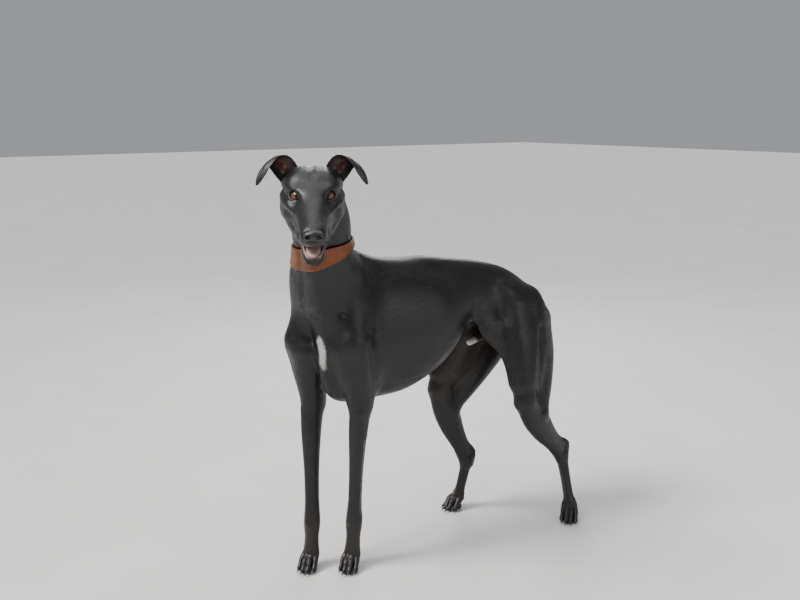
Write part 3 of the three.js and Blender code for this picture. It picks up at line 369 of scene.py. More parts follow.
# Toes, pads and the web between them
def foot_forms(leg):
    ahead, at, knuckle = vec(leg["ahead"]), vec(leg["foot"]), vec(leg["knuckle"])
    side = unit(np.cross(ahead, Z))
    forms = []
    for i in range(4):
        spread = i - 1.5
        far = 30 if abs(spread) < 1 else 20
        root = along(knuckle, (side, spread * 8.5), (ahead, 2), (Z, -4))
        bend = along(at, (side, spread * 11), (ahead, far - 16), (Z, 25))
        tip = along(at, (side, spread * 11.6), (ahead, far), (Z, 8))
        toe = [[*root, 8, 8.5], [*bend, 7, 8.6], [*mix(bend, tip, 0.55), 6.2, 7.2],
               [*along(tip, (ahead, -1)), 7.2, 8.4]]
        forms.append(chain(toe, side, 2.5, steps=2))
    pad = [
        [*along(at, (side, -9), (ahead, -4), (Z, 8)), 10, 9.6],
        [*along(at, (side, 9), (ahead, -4), (Z, 8)), 10, 9.6],
    ]
    web = [
        [*along(knuckle, (Z, 4)), 17, 14],
        [*along(mix(knuckle, at, 0.45), (ahead, 4)), 18, 13],
        [*along(at, (ahead, 4), (Z, 13)), 15, 9.5],
    ]
    return forms + [chain(pad, ahead, 3), chain(web, side, 5)]


# Sheath, scrotum and tail
def groin_forms():
    side = [1, 0, 0]
    sheath = [[18, 112, 478, 8, 9], [20, 135, 488, 11, 13], [24, 180, 504, 12, 17], [28, 222, 512, 12, 17]]
    forms = [chain(sheath, side, 8)]
    for x in (26, 40):
        forms.append(chain([[x, 236, 486, 12, 14], [x, 242, 450, 12, 16]], side, 6))
    return forms


TAIL_ROWS = [
    [36, 300, 546, 18, 18], [38, 322, 532, 16, 16], [40, 342, 502, 13, 13.5],
    [40, 352, 450, 11, 11.5], [38, 352, 380, 9, 9.5], [36, 352, 310, 7.5, 7.5],
    [34, 358, 245, 6, 6], [33, 376, 196, 5, 5], [32, 396, 172, 3.6, 3.6],
]


# Neck with the strap muscles, windpipe and the furrows beside it
def neck_forms():
    forms = [chain(NECK_ROWS, NECK_SIDE, 34, steps=6)]
    lines = [vec(r[:3]) for r in NECK_ROWS]
    t = unit(lines[4] - lines[1])
    s = unit(vec(NECK_SIDE) - t * (vec(NECK_SIDE) @ t))
    n = np.cross(t, s)
    if n[2] > 0:
        n = -n
    pipe = [[*along(lines[i], (n, NECK_ROWS[i][4] - 11)), 13, 13] for i in (1, 2, 3, 4)]
    forms.append(chain(pipe, s, 22))
    for k in (1, -1):
        groove = [
            [*along(lines[i], (n, NECK_ROWS[i][4] * 0.94), (s, k * NECK_ROWS[i][3] * 0.58)), 3, 3]
            for i in (1, 2, 3, 4)
        ]
        forms.append(chain(groove, s, 12, True))
    return forms


# Skull, muzzle, cheeks, brows, lips, lids and jaw
HEAD_ROWS = [
    [-98, 0, -12, 36, 32], [-72, 0, -8, 45, 38], [-38, 0, -5, 48, 41], [-5, 0, -12, 41, 37],
    [25, 0, -20, 33, 30], [55, 0, -27, 27.5, 27], [85, 0, -31, 25, 22.5], [108, 0, -33, 23, 19.5],
    [116, 0, -35, 20, 16.5],
]
JAW_ROWS = [
    [-52, 0, -46, 42, 20], [-20, 0, -57, 36, 17], [15, 0, -67, 28, 14.5],
    [50, 0, -76, 22, 12], [80, 0, -84, 18, 10], [94, 0, -86, 14, 8.5],
]
MOUTH_ROWS = [
    [-6, 0, -60, 12, 4], [30, 0, -59, 17, 7], [60, 0, -62, 16.5, 10],
    [90, 0, -67, 14.5, 13], [112, 0, -70, 14, 15], [130, 0, -74, 15, 18],
]


def look_of(s):
    return unit(AHEAD * 0.89 + SIDE * 0.45 * s + UP * 0.06)


# Centre of an eye, and the way it looks, across and up from that
def eye_axes(s):
    eye = on_head(EYE_PLACE[0], EYE_PLACE[1] * s, EYE_PLACE[2])
    look = look_of(s)
    across = unit(np.cross(UP, look))
    return eye, look, across, np.cross(look, across)


# Corners and middle of the lid opening, and the rows of its slit
def opening_rows(s):
    eye, look, across, rise = eye_axes(s)
    r = EYE_RADIUS
    inner = along(eye, (look, r * 0.66), (across, -s * 11.4), (rise, -2.0))
    outer = along(eye, (look, r * 0.62), (across, s * 11.2), (rise, 0.8))
    mid = along(eye, (look, r + 1.0), (rise, 0.5))
    rows = [
        [*inner, 4.5, 0.9],
        [*along(mix(inner, mid, 0.5), (look, 1)), 8, 3.9],
        [*mid, 9, 4.7],
        [*along(mix(mid, outer, 0.5), (look, 1)), 8, 3.8],
        [*outer, 4.5, 0.8],
    ]
    return inner, mid, outer, rows


# Lids over one eye, the opening between them, room for the eyeball
def lid_forms(s):
    eye, look, across, rise = eye_axes(s)
    r = EYE_RADIUS
    inner, mid, outer, rows = opening_rows(s)
    dish = [[*along(eye, (look, r + 6)), 9.5, 8], [*along(eye, (look, r + 26)), 24, 20]]
    ball = [[*along(eye, (look, -1)), r + 1.6, r + 1.6], [*eye, r + 2.2, r + 2.2]]
    forms = [chain(dish, across, 9, True), chain(ball, across, 5)]
    for lift, height in ((6.1, 1.5), (-5.6, 1.3)):
        rim = [[*inner, 1.5, 1.3], [*along(mid, (rise, lift), (look, -1.0)), 2.0, height], [*outer, 1.5, 1.3]]
        forms.append(chain(rim, look, 2.5, steps=5))
    room = [[*along(eye, (look, k)), r + 0.15, r + 0.15] for k in (-0.4, 0.4)]
    fold = [
        [*along(inner, (rise, 4.0), (look, 1)), 1, 1],
        [*along(mid, (rise, 10.2), (look, -1.5)), 1.4, 1.4],
        [*along(outer, (rise, 4.4), (look, 1)), 1, 1],
    ]
    return forms + [
        chain(rows, look, 1.2, True, steps=4),
        chain(room, across, 0.4, True, steps=1),
        chain(fold, look, 5, True, steps=4),
    ]


# Forms of one side of the head with their blends: brow ridge above the eye, cheek, brow, lip line of the
# cheek, temple, upper lip, root of the ear
CHEEKS = [
    ([[22, 26, -18, 8, 8], [-14, 44, -16, 9, 8], [-48, 49, -12, 9, 9]], 12),
    ([[-26, 36, -36, 16, 18], [-52, 39, -38, 20, 26]], 16),
    ([[7, 23, 10, 6, 5], [-8, 32, 12, 7, 6], [-28, 39, 9, 8, 7]], 16),
    ([[-30, 36, -42, 12, 14], [0, 29, -43, 10, 12], [30, 24, -43, 8, 10], [56, 20, -42, 7, 8]], 14),
    ([[-28, 22, 22, 13, 9], [-58, 26, 21, 15, 11]], 26),
    ([[112, 13, -44, 8, 7], [86, 19, -50, 7, 7], [52, 24, -53, 6, 7], [14, 31, -55, 6, 6],
      [-14, 37, -55, 6, 6]], 7),
    ([[-76, 40, 10, 12, 12], [-90, 44, 2, 13, 14]], 14),
]
LOWER_LIP = [[96, 10, -77, 3, 3.4], [80, 15.5, -75, 3, 3.6], [50, 19.5, -68, 3, 4], [20, 25, -61, 3.4, 4],
             [-8, 33, -56, 4, 4]]
CHEEK_WEB = [[-34, 41, -56, 7, 13], [-4, 35, -60, 5, 12], [22, 30, -62, 4, 10], [40, 26.5, -64, 3, 6]]


def head_forms():
    stub = [[-96, 0, -24, 44, 44], [-70, 0, -20, 46, 44]]
    furrow = [[-70, 0, 40.5, 2, 2], [-38, 0, 43, 2, 2], [-8, 0, 33, 2, 2]]
    chin = [[88, 0, -91, 9, 6], [70, 0, -92, 9, 5]]
    front = [[97, 9, -79, 3, 3], [101, 0, -81, 3, 3], [97, -9, -79, 3, 3]]
    forms = [chain(in_head(HEAD_ROWS), SIDE, 8, steps=6)]
    for s in (LEFT, RIGHT):
        forms += [chain(in_head(rows, s), SIDE, blend) for rows, blend in CHEEKS]
    for rows, blend, cut in ((stub, 26, False), (furrow, 9, True), (JAW_ROWS, 5, False), (chin, 6, False),
                             (MOUTH_ROWS, 3, True)):
        forms.append(chain(in_head(rows), SIDE, blend, cut))
    for s in (LEFT, RIGHT):
        forms += [chain(in_head(LOWER_LIP, s), SIDE, 4), chain(in_head(CHEEK_WEB, s), SIDE, 7)]
    forms.append(chain(in_head(front), AHEAD, 4))
    return forms + lid_forms(LEFT) + lid_forms(RIGHT)


BODY = barrel_forms()
for s in (LEFT, RIGHT):
    BODY += shoulder_forms(s)
for s in (LEFT, RIGHT):
    BODY += hip_forms(s)
for s in (LEFT, RIGHT):
    BODY += hind_forms(s) + fore_forms(s)
BODY += neck_forms() + groin_forms() + [chain(TAIL_ROWS, [1, 0, 0], 10)]
for legs in (FORE, HIND):
    for s in (LEFT, RIGHT):
        BODY += foot_forms(legs[s])


# Field and its slope at many points, worked through in small batches that lie close together
def field_at(forms, pts, batch=16000):
    pts = np.asarray(pts, np.float32)

    def work(start):
        part = pts[start:start + batch]
        low, high = part.min(axis=0), part.max(axis=0)
        here = []
        for form in forms:
            gap = np.maximum(np.maximum(form["low"] - high, low - form["high"]), 0)
            if np.sqrt((gap * gap).sum()) < FAR + form["blend"]:
                here.append(form)
        return field_of(here, part)

    if not len(pts):
        return np.empty(0, np.float32)
    with ThreadPoolExecutor(4) as pool:
        return np.concatenate(list(pool.map(work, range(0, len(pts), batch))))


def slope_at(forms, pts, h=0.25):
    rows = []
    for axis in range(3):
        step = np.zeros(3, np.float32)
        step[axis] = h
        rows.append((field_at(forms, pts + step) - field_at(forms, pts - step)) / (2 * h))
    return np.stack(rows, axis=1)


# Moves points onto the surface that lies the given depth inside the field's
def settle(forms, pts, depth, rounds, reach):
    pts = np.array(pts, np.float32)
    for _ in range(rounds):
        d = field_at(forms, pts) + depth
        g = slope_at(forms, pts)
        move = d / np.maximum((g * g).sum(axis=1), 0.3)
        pts -= g * np.clip(move, -reach, reach)[:, None]
    return pts


def normals_at(forms, pts, h=0.5):
    g = slope_at(forms, pts, h)
    return g / np.maximum(np.linalg.norm(g, axis=1), 1e-6)[:, None]


CORNERS = np.array([[i, j, k] for i in (0, 1) for j in (0, 1) for k in (0, 1)])
EDGES = [(a, b) for a in range(8) for b in range(a + 1, 8) if np.abs(CORNERS[a] - CORNERS[b]).sum() == 1]


# Values on a fine lattice, only near the surface
def lattice(forms, low, high, cell, depth, keep):
    low = np.array(low, np.float32)
    blocks = np.ceil((np.array(high) - low) / (cell * 4)).astype(int)
    axes = [low[i] + np.arange(blocks[i] + 1) * cell * 4 for i in range(3)]
    grid = np.stack(np.meshgrid(*axes, indexing="ij"), axis=-1).reshape(-1, 3)
    near = np.abs(field_at(forms, grid) + depth).reshape(blocks + 1) < cell * 4 * 2.0
    active = np.zeros(blocks, bool)
    for i, j, k in CORNERS:
        active |= near[i:i + blocks[0], j:j + blocks[1], k:k + blocks[2]]
    size = blocks * 4 + 1
    known = np.zeros(size, bool)
    wide = np.repeat(np.repeat(np.repeat(active, 4, 0), 4, 1), 4, 2)
    for i, j, k in CORNERS:
        known[i:i + size[0] - 1, j:j + size[1] - 1, k:k + size[2] - 1] |= wide
    where = np.argwhere(known)
    pts = low + where * np.float32(cell)
    good = keep(pts)
    known[tuple(where[~good].T)] = False
    where, pts = where[good], pts[good]
    values = np.full(size, 1.0, np.float32)
    values[tuple(where.T)] = field_at(forms, pts) + depth
    return values, known, low


# Net of four-sided faces over a lattice, one point in each cell that the surface crosses
def surface_net(forms, low, high, cell, depth, keep):
    values, known, low = lattice(forms, low, high, cell, depth, keep)
    n = np.array(values.shape) - 1
    inside = values < 0
    whole = np.ones(n, bool)
    count = np.zeros(n, np.uint8)
    for i, j, k in CORNERS:
        part = np.s_[i:i + n[0], j:j + n[1], k:k + n[2]]
        whole &= known[part]
        count += inside[part]
    mixed = whole & (count > 0) & (count < 8)
    cells = np.argwhere(mixed)
    index = np.full(n, -1, np.int32)
    index[mixed] = np.arange(len(cells))
    v = np.stack([values[tuple((cells + c).T)] for c in CORNERS], axis=1)
    place = np.zeros((len(cells), 3), np.float32)
    hits = np.zeros(len(cells), np.float32)
    for a, b in EDGES:
        cross = (v[:, a] < 0) != (v[:, b] < 0)
        t = np.where(cross, v[:, a] / np.where(cross, v[:, a] - v[:, b], 1), 0)
        place += np.where(cross[:, None], CORNERS[a] + (CORNERS[b] - CORNERS[a]) * t[:, None], 0)
        hits += cross
    verts = low + (cells + place / hits[:, None]) * np.float32(cell)
    faces = []
    for axis in range(3):
        one, two = (axis + 1) % 3, (axis + 2) % 3
        ahead = np.roll(inside, -1, axis=axis)
        cross = inside != ahead
        edge = np.argwhere(cross)
        ok = (edge[:, axis] < n[axis]) & (edge[:, one] > 0) & (edge[:, one] < n[one])
        ok &= (edge[:, two] > 0) & (edge[:, two] < n[two])
        edge = edge[ok]
        quad = []
        for u, w in ((-1, -1), (0, -1), (0, 0), (-1, 0)):
            at = edge.copy()
            at[:, one] += u
            at[:, two] += w
            quad.append(index[tuple(at.T)])
        quad = np.stack(quad, axis=1)
        solid = inside[tuple(edge.T)]
        quad[~solid] = quad[~solid][:, ::-1]
        faces.append(quad[(quad >= 0).all(axis=1)])
    faces = np.concatenate(faces)
    verts = settle(forms, verts, depth, 2, cell)
    return verts, faces


# Height over the collar's middle plane
def above_collar(pts):
    return (pts - COLLAR_AT.astype(np.float32)) @ COLLAR_NORMAL.astype(np.float32)


# Coat directions: lines along the body that the hair follows from first to last point
def hair_lines():
    lines = [
        (on_head(140, 0, -30), on_head(-96, 0, -6)),
        (on_head(100, 0, -84), on_head(-60, 0, -50)),
        (NECK_ROWS[5][:3], NECK_ROWS[2][:3]),
        (NECK_ROWS[2][:3], [4, -262, 620]),
        ([2, -222, 640], [8, 40, 620]),
        ([8, 40, 620], [36, 290, 560]),
        ([27, -292, 520], [12, -250, 430]),
        ([12, -250, 430], [2, 20, 500]),
        ([3, -180, 560], [2, 0, 540]),
    ]
    for s in (LEFT, RIGHT):
        for leg, names in ((FORE[s], ("shoulder", "elbow", "carpus", "foot")),
                           (HIND[s], ("hip", "knee", "hock", "foot"))):
            lines += [(leg[a], leg[b]) for a, b in zip(names[:-1], names[1:])]
    lines += [(TAIL_ROWS[a][:3], TAIL_ROWS[b][:3]) for a, b in ((0, 2), (2, 8))]
    return [(vec(a), vec(b)) for a, b in lines]


LINES = hair_lines()


# Length of a hair line, its direction and the two directions across it
def line_axes(a, b):
    t = unit(b - a)
    side = unit(np.cross(t, [0.31, 0.2, 0.93]))
    return np.linalg.norm(b - a), t, side, np.cross(t, side)


# Nearest hair line of each point, how far along it is, its turn round it, and the blended direction
def lie_of(pts, normals):
    pts = np.asarray(pts, float)
    best = np.full(len(pts), 1e9)
    which = np.zeros(len(pts), int)
    run = np.zeros(len(pts))
    turn = np.zeros(len(pts))
    flow = np.zeros((len(pts), 3))
    for i, (a, b) in enumerate(LINES):
        length, t, side, back = line_axes(a, b)
        d = pts - a
        w = np.clip(d @ t, 0, length)
        away = d - w[:, None] * t
        far = np.linalg.norm(away, axis=1)
        flow += t / (far[:, None] + 4) ** 4
        closer = far < best
        best[closer] = far[closer]
        which[closer] = i
        run[closer] = (w / length)[closer]
        turn[closer] = (np.arctan2(away @ back, away @ side) / (2 * math.pi) + 0.5)[closer]
    flow -= normals * (flow * normals).sum(axis=1)[:, None]
    flow /= np.maximum(np.linalg.norm(flow, axis=1), 1e-12)[:, None]
    return which, run, turn, flow


# Texture place: short along the hair's lie, so that noise in it runs as strands
def grain_of(pts, which):
    grain = np.zeros((len(pts), 3), np.float32)
    for i, (a, b) in enumerate(LINES):
        m = which == i
        _, t, side, back = line_axes(a, b)
        d = pts[m] - a
        grain[m] = np.stack([d @ side, d @ back, d @ t * 0.11], axis=1)
    return grain


# 1 on a line through the points, falling to 0 at the given distance from it
def near_line(pts, points, wide):
    points = [vec(p) for p in points]
    best = np.full(len(pts), 1e9)
    for a, b in zip(points[:-1], points[1:]):
        t = unit(b - a)
        w = np.clip((pts - a) @ t, 0, np.linalg.norm(b - a))
        best = np.minimum(best, np.linalg.norm(pts - a - w[:, None] * t, axis=1))
    return np.clip(1 - best / wide, 0, 1)


def ripple(pts, size, seed=0):
    q = pts / size + seed * 7.3
    a = np.sin(q[:, 0] * 1.7 + np.sin(q[:, 1] * 2.3)) + np.sin(q[:, 1] * 2.1 + np.sin(q[:, 2] * 1.9))
    return (a + np.sin(q[:, 2] * 2.6 + np.sin(q[:, 0] * 1.4))) / 3


BLACK = np.array([0.0060, 0.0055, 0.0060])
BROWN = np.array([0.024, 0.011, 0.007])
WHITE = np.array([0.55, 0.53, 0.50])
PINK = np.array([0.30, 0.12, 0.095])
FLESH = np.array([0.16, 0.035, 0.028])
RIM = np.array([0.065, 0.030, 0.025])
LIP = np.array([0.34, 0.23, 0.21])
BLAZE = [[33, -325, 552], [40, -323, 530], [40, -322, 512], [38, -320, 494]]


def toward(colours, target, share):
    share = np.clip(share, 0, 1)[:, None]
    return colours * (1 - share) + target * share


# Markings shared by skin and coat
def marks_of(pts):
    pts = np.asarray(pts, float)
    c = np.repeat(BLACK[None], len(pts), axis=0) * (1 + 0.25 * ripple(pts, 23)[:, None])
    groin = near_line(pts, [[30, 200, 500], [20, 140, 500], [-50, 120, 470], [-60, 110, 420]], 70)
    c = toward(c, BROWN, groin ** 0.8 * (0.8 + 0.3 * ripple(pts, 9, 2)))
    for s in (LEFT, RIGHT):
        f, h = FORE[s], HIND[s]
        c = toward(c, BROWN, near_line(pts, [f["carpus"], f["foot"]], 60) * 0.35)
        c = toward(c, BROWN, near_line(pts, [h["hock"], h["foot"]], 60) * 0.35)
        inner = vec(h["out"]) * -30
        c = toward(c, BROWN, near_line(pts, [vec(h["hip"]) + inner, vec(h["knee"]) + inner], 46) * 0.9)
    c = toward(c, FLESH * 0.8, (near_line(pts, [[10, 60, 510], [14, 110, 500]], 44) - 0.2) * 0.9)
    c = toward(c, WHITE, (near_line(pts, [[16, 106, 474], [19, 122, 480]], 20) - 0.35) * 4)
    c = toward(c, PINK * 0.5, (near_line(pts, [[26, 236, 470], [40, 240, 460]], 34) - 0.25) * 1.6)
    blaze = near_line(pts, BLAZE, 15) + 0.16 * ripple(pts, 4, 3)
    blaze = blaze + np.clip((pts[:, 2] - 520) * 0.006, -0.3, 0.12)
    c = toward(c, WHITE * 0.7, (blaze - 0.32) * 3)
    # Head: inside of the mouth, lip rim, eye rims
    q = to_head(pts)
    mouth = field_at(MOUTH, pts)
    inside = (mouth < 1.6) & (q[:, 0] < 116)
    c = toward(c, FLESH * 0.16, inside * 1.0)
    lip_height = np.interp(q[:, 0], [-8, 20, 50, 80, 97, 101], [-52, -57, -64, -71, -74, -76])
    rim = np.clip(1 - np.abs(q[:, 2] - lip_height) / 3.2, 0, 1) * (mouth < 4.5) * (q[:, 0] > -10)
    c = toward(c, LIP, rim * 1.3)
    for s in (LEFT, RIGHT):
        eye = field_at(OPENINGS[s], pts)
        c = toward(c, RIM, (1 - np.abs(eye) / 2.6) * 1.6)
    return c


# Mesh objects from arrays, in metres in the frame
def make(name, verts, faces, normals=None):
    data = bpy.data.meshes.new(name)
    place = ((np.asarray(verts, float) + SHIFT) * 0.001).astype(np.float32)
    data.vertices.add(len(place))
    data.vertices.foreach_set("co", place.ravel())
    faces = np.asarray(faces, np.int32)
    data.loops.add(faces.size)
    data.loops.foreach_set("vertex_index", faces.ravel())
    data.polygons.add(len(faces))
    data.polygons.foreach_set("loop_start", np.arange(len(faces), dtype=np.int32) * faces.shape[1])
    data.polygons.foreach_set("use_smooth", np.ones(len(faces), bool))
    data.update(calc_edges=True)
    if normals is not None:
        data.normals_split_custom_set_from_vertices(np.asarray(normals, float).tolist())
    obj = bpy.data.objects.new(name, data)
    bpy.context.scene.collection.objects.link(obj)
    return obj


def paint(obj, colours):
    layer = obj.data.color_attributes.new("Marks", "FLOAT_COLOR", "POINT")
    rgba = np.ones((len(colours), 4), np.float32)
    rgba[:, :3] = colours
    layer.data.foreach_set("color", rgba.ravel())


def vectors(obj, name, values):
    layer = obj.data.attributes.new(name, "FLOAT_VECTOR", "POINT")
    layer.data.foreach_set("vector", np.asarray(values, np.float32).ravel())


def dress(obj, material, nodes=()):
    obj.data.materials.append(material)
    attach(obj, "root")
    if nodes:
        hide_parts(*nodes)
    return obj


# Materials
class Nodes:
    def __init__(self, name):
        self.material = bpy.data.materials.new(name)
        self.material.use_nodes = True
        self.tree = self.material.node_tree
        self.shader = self.tree.nodes["Principled BSDF"]

    def add(self, kind, **values):
        node = self.tree.nodes.new(kind)
        for key, value in values.items():
            if hasattr(node, key):
                setattr(node, key, value)
            else:
                node.inputs[key.replace("_", " ")].default_value = value
        return node

    def link(self, a, out, b, into):
        self.tree.links.new(a.outputs[out], b.inputs[into])

    def set(self, **values):
        for key, value in values.items():
            self.shader.inputs[key.replace("_", " ")].default_value = value

    def end(self, node, out, into):
        self.link(node, out, self.shader, into)

    def noise(self, source, out, scale, detail=3.0):
        node = self.add("ShaderNodeTexNoise", Scale=scale, Detail=detail, Roughness=0.55)
        self.link(source, out, node, "Vector")
        return node

    def cells(self, source, scale):
        node = self.add("ShaderNodeTexVoronoi", feature="DISTANCE_TO_EDGE", Scale=scale)
        self.link(source, "Object", node, "Vector")
        return node

    def multiply(self, one, two):
        node = self.add("ShaderNodeMix", data_type="RGBA", blend_type="MULTIPLY", Factor=1.0)
        self.link(one, "Color", node, 6)
        self.link(two, "Color", node, 7)
        self.end(node, 2, "Base Color")

    def ramp(self, source, out, stops):
        node = self.add("ShaderNodeValToRGB")
        ramp = node.color_ramp
        while len(ramp.elements) < len(stops):
            ramp.elements.new(0.5)
        for element, (at, colour) in zip(ramp.elements, stops):
            element.position = at
            element.color = (*colour, 1)
        self.link(source, out, node, "Fac")
        return node

    def bump(self, source, out, strength, distance, after=None):
        node = self.add("ShaderNodeBump", Strength=strength, Distance=distance)
        self.link(source, out, node, "Height")
        if after:
            self.link(after, "Normal", node, "Normal")
        return node


def grey(v):
    return (v, v, v)


def coat_material():
    m = Nodes("short_coat")
    marks = m.add("ShaderNodeAttribute", attribute_name="Marks")
    grain = m.add("ShaderNodeAttribute", attribute_name="grain")
    fine = m.noise(grain, "Vector", 1.5, 2.0)
    broad = m.noise(grain, "Vector", 0.22)
    m.multiply(marks, m.ramp(fine, "Fac", [(0.3, grey(0.55)), (0.7, grey(1.5))]))
    m.end(m.ramp(broad, "Fac", [(0.3, grey(0.29)), (0.7, grey(0.45))]), "Color", "Roughness")
    m.end(m.bump(fine, "Fac", 0.5, 0.0006, m.bump(broad, "Fac", 0.12, 0.002)), "Normal", "Normal")
    m.set(Specular_IOR_Level=0.4)
    return m.material


def painted_material(name, scale, rough, coat=0.0):
    m = Nodes(name)
    marks = m.add("ShaderNodeAttribute", attribute_name="Marks")
    spots = m.noise(m.add("ShaderNodeTexCoord"), "Object", scale)
    m.multiply(marks, m.ramp(spots, "Fac", [(0.3, grey(0.8)), (0.7, grey(1.2))]))
    m.end(m.bump(spots, "Fac", 0.35, 0.0006), "Normal", "Normal")
    m.set(Roughness=rough, Coat_Weight=coat, Coat_Roughness=0.12)
    return m.material


# Pupil, iris and dark ring by the distance from the line of sight through the ball's middle
def eye_material():
    m = Nodes("eye_amber")
    place = m.add("ShaderNodeTexCoord")
    split = m.add("ShaderNodeSeparateXYZ")
    m.link(place, "Object", split, "Vector")
    flat = m.add("ShaderNodeCombineXYZ")
    m.link(split, "X", flat, "X")
    m.link(split, "Y", flat, "Y")
    away = m.add("ShaderNodeVectorMath", operation="LENGTH")
    m.link(flat, "Vector", away, 0)
    share = m.add("ShaderNodeMath", operation="MULTIPLY")
    m.link(away, "Value", share, 0)
    share.inputs[1].default_value = 1 / (EYE_RADIUS * 0.001)
    jitter = m.add("ShaderNodeMath", operation="MULTIPLY_ADD")
    m.link(m.noise(place, "Object", 900.0), "Fac", jitter, 0)
    jitter.inputs[1].default_value = 0.09
    m.link(share, "Value", jitter, 2)
    iris = m.ramp(jitter, "Value", [
        (0.0, (0.002, 0.002, 0.002)), (0.30, (0.002, 0.002, 0.002)), (0.35, (0.10, 0.036, 0.012)),
        (0.55, (0.17, 0.062, 0.018)), (0.74, (0.07, 0.024, 0.008)), (0.80, (0.010, 0.006, 0.005)),
        (0.86, (0.07, 0.035, 0.030)), (1.0, (0.12, 0.06, 0.05)),
    ])
    m.end(iris, "Color", "Base Color")
    m.set(Roughness=0.3, Coat_Weight=0.8, Coat_Roughness=0.02, Specular_IOR_Level=0.2)
    return m.material


def plain_material(name, colour, dark, rough, scale, bump):
    m = Nodes(name)
    place = m.add("ShaderNodeTexCoord")
    spots = m.noise(place, "Object", scale, 4.0)
    fine = m.noise(place, "Object", scale * 3, 2.0)
    m.end(m.ramp(spots, "Fac", [(0.3, dark), (0.7, colour)]), "Color", "Base Color")
    m.end(m.ramp(fine, "Fac", [(0.3, grey(rough - 0.06)), (0.7, grey(rough + 0.08))]), "Color", "Roughness")
    m.end(m.bump(spots, "Fac", bump, 0.0004), "Normal", "Normal")
    return m.material


def nose_material():
    m = Nodes("nose_leather")
    place = m.add("ShaderNodeTexCoord")
    spots = m.noise(place, "Object", 300.0)
    tone = m.ramp(spots, "Fac", [(0.3, (0.006, 0.006, 0.007)), (0.7, (0.016, 0.014, 0.015))])
    m.end(tone, "Color", "Base Color")
    m.end(m.bump(m.cells(place, 900.0), "Distance", 0.55, 0.0005), "Normal", "Normal")
    m.set(Roughness=0.34, Coat_Weight=0.2, Coat_Roughness=0.2, Specular_IOR_Level=0.4)
    return m.material


def leather_material():
    m = Nodes("collar_leather")
    place = m.add("ShaderNodeTexCoord")
    broad = m.noise(place, "Object", 26.0, 5.0)
    fine = m.noise(place, "Object", 700.0)
    # Tone factors of the band, painted per point: darker on the inner face and edge strips, lighter along the
    # outer face's edges, multiplied into the tan
    band_tone_attr = m.add("ShaderNodeAttribute", attribute_name="Marks")
    tan = [(0.25, (0.060, 0.015, 0.002)), (0.5, (0.125, 0.031, 0.003)), (0.75, (0.20, 0.052, 0.006))]
    m.multiply(m.ramp(broad, "Fac", tan), band_tone_attr)
    m.end(m.ramp(broad, "Fac", [(0.3, grey(0.34)), (0.7, grey(0.5))]), "Color", "Roughness")
    pores = m.bump(m.cells(place, 520.0), "Distance", 0.3, 0.0005)
    m.end(m.bump(fine, "Fac", 0.3, 0.0003, pores), "Normal", "Normal")
    m.set(Specular_IOR_Level=0.3)
    return m.material


# Forms that the colours and the coat are measured from, and the whole dog
MOUTH = [chain(in_head(MOUTH_ROWS), SIDE, 3)]
OPENINGS = {s: [chain(opening_rows(s)[3], look_of(s), 1.2, steps=4)] for s in (LEFT, RIGHT)}
ALL = BODY + head_forms()
HEAD_INSET = 0.35


# The skin in three nets that overlap a little: body, feet, head
def build_skin():
    parts = []

    def piece(low, high, cell, depth, keep):
        verts, faces = surface_net(ALL, low, high, cell, depth, keep)
        parts.append((verts, faces, normals_at(ALL, verts, cell)))

    piece([-110, -408, 52], [180, 410, 800], 3.0, INSET, lambda p: (above_collar(p) < 3) & (p[:, 2] > 60))
    piece([-115, -372, -6], [190, 390, 70], 1.5, INSET, lambda p: p[:, 2] < 64)
    piece([-45, -530, 690], [320, -215, 960], 1.3, HEAD_INSET, lambda p: above_collar(p) > -3)
    verts, faces, normals, start = [], [], [], 0
    for v, f, n in parts:
        verts.append(v)
        faces.append(f + start)
        normals.append(n)
        start += len(v)
    verts = np.concatenate(verts)
    verts[:, 2] = np.maximum(verts[:, 2], 0.2)
    return verts, np.concatenate(faces), np.concatenate(normals)


FLESH_NODES = [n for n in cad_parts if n.split("_")[0] in
               ("torso", "neck", "tail", "foreleg", "hindleg", "head", "jaw")]


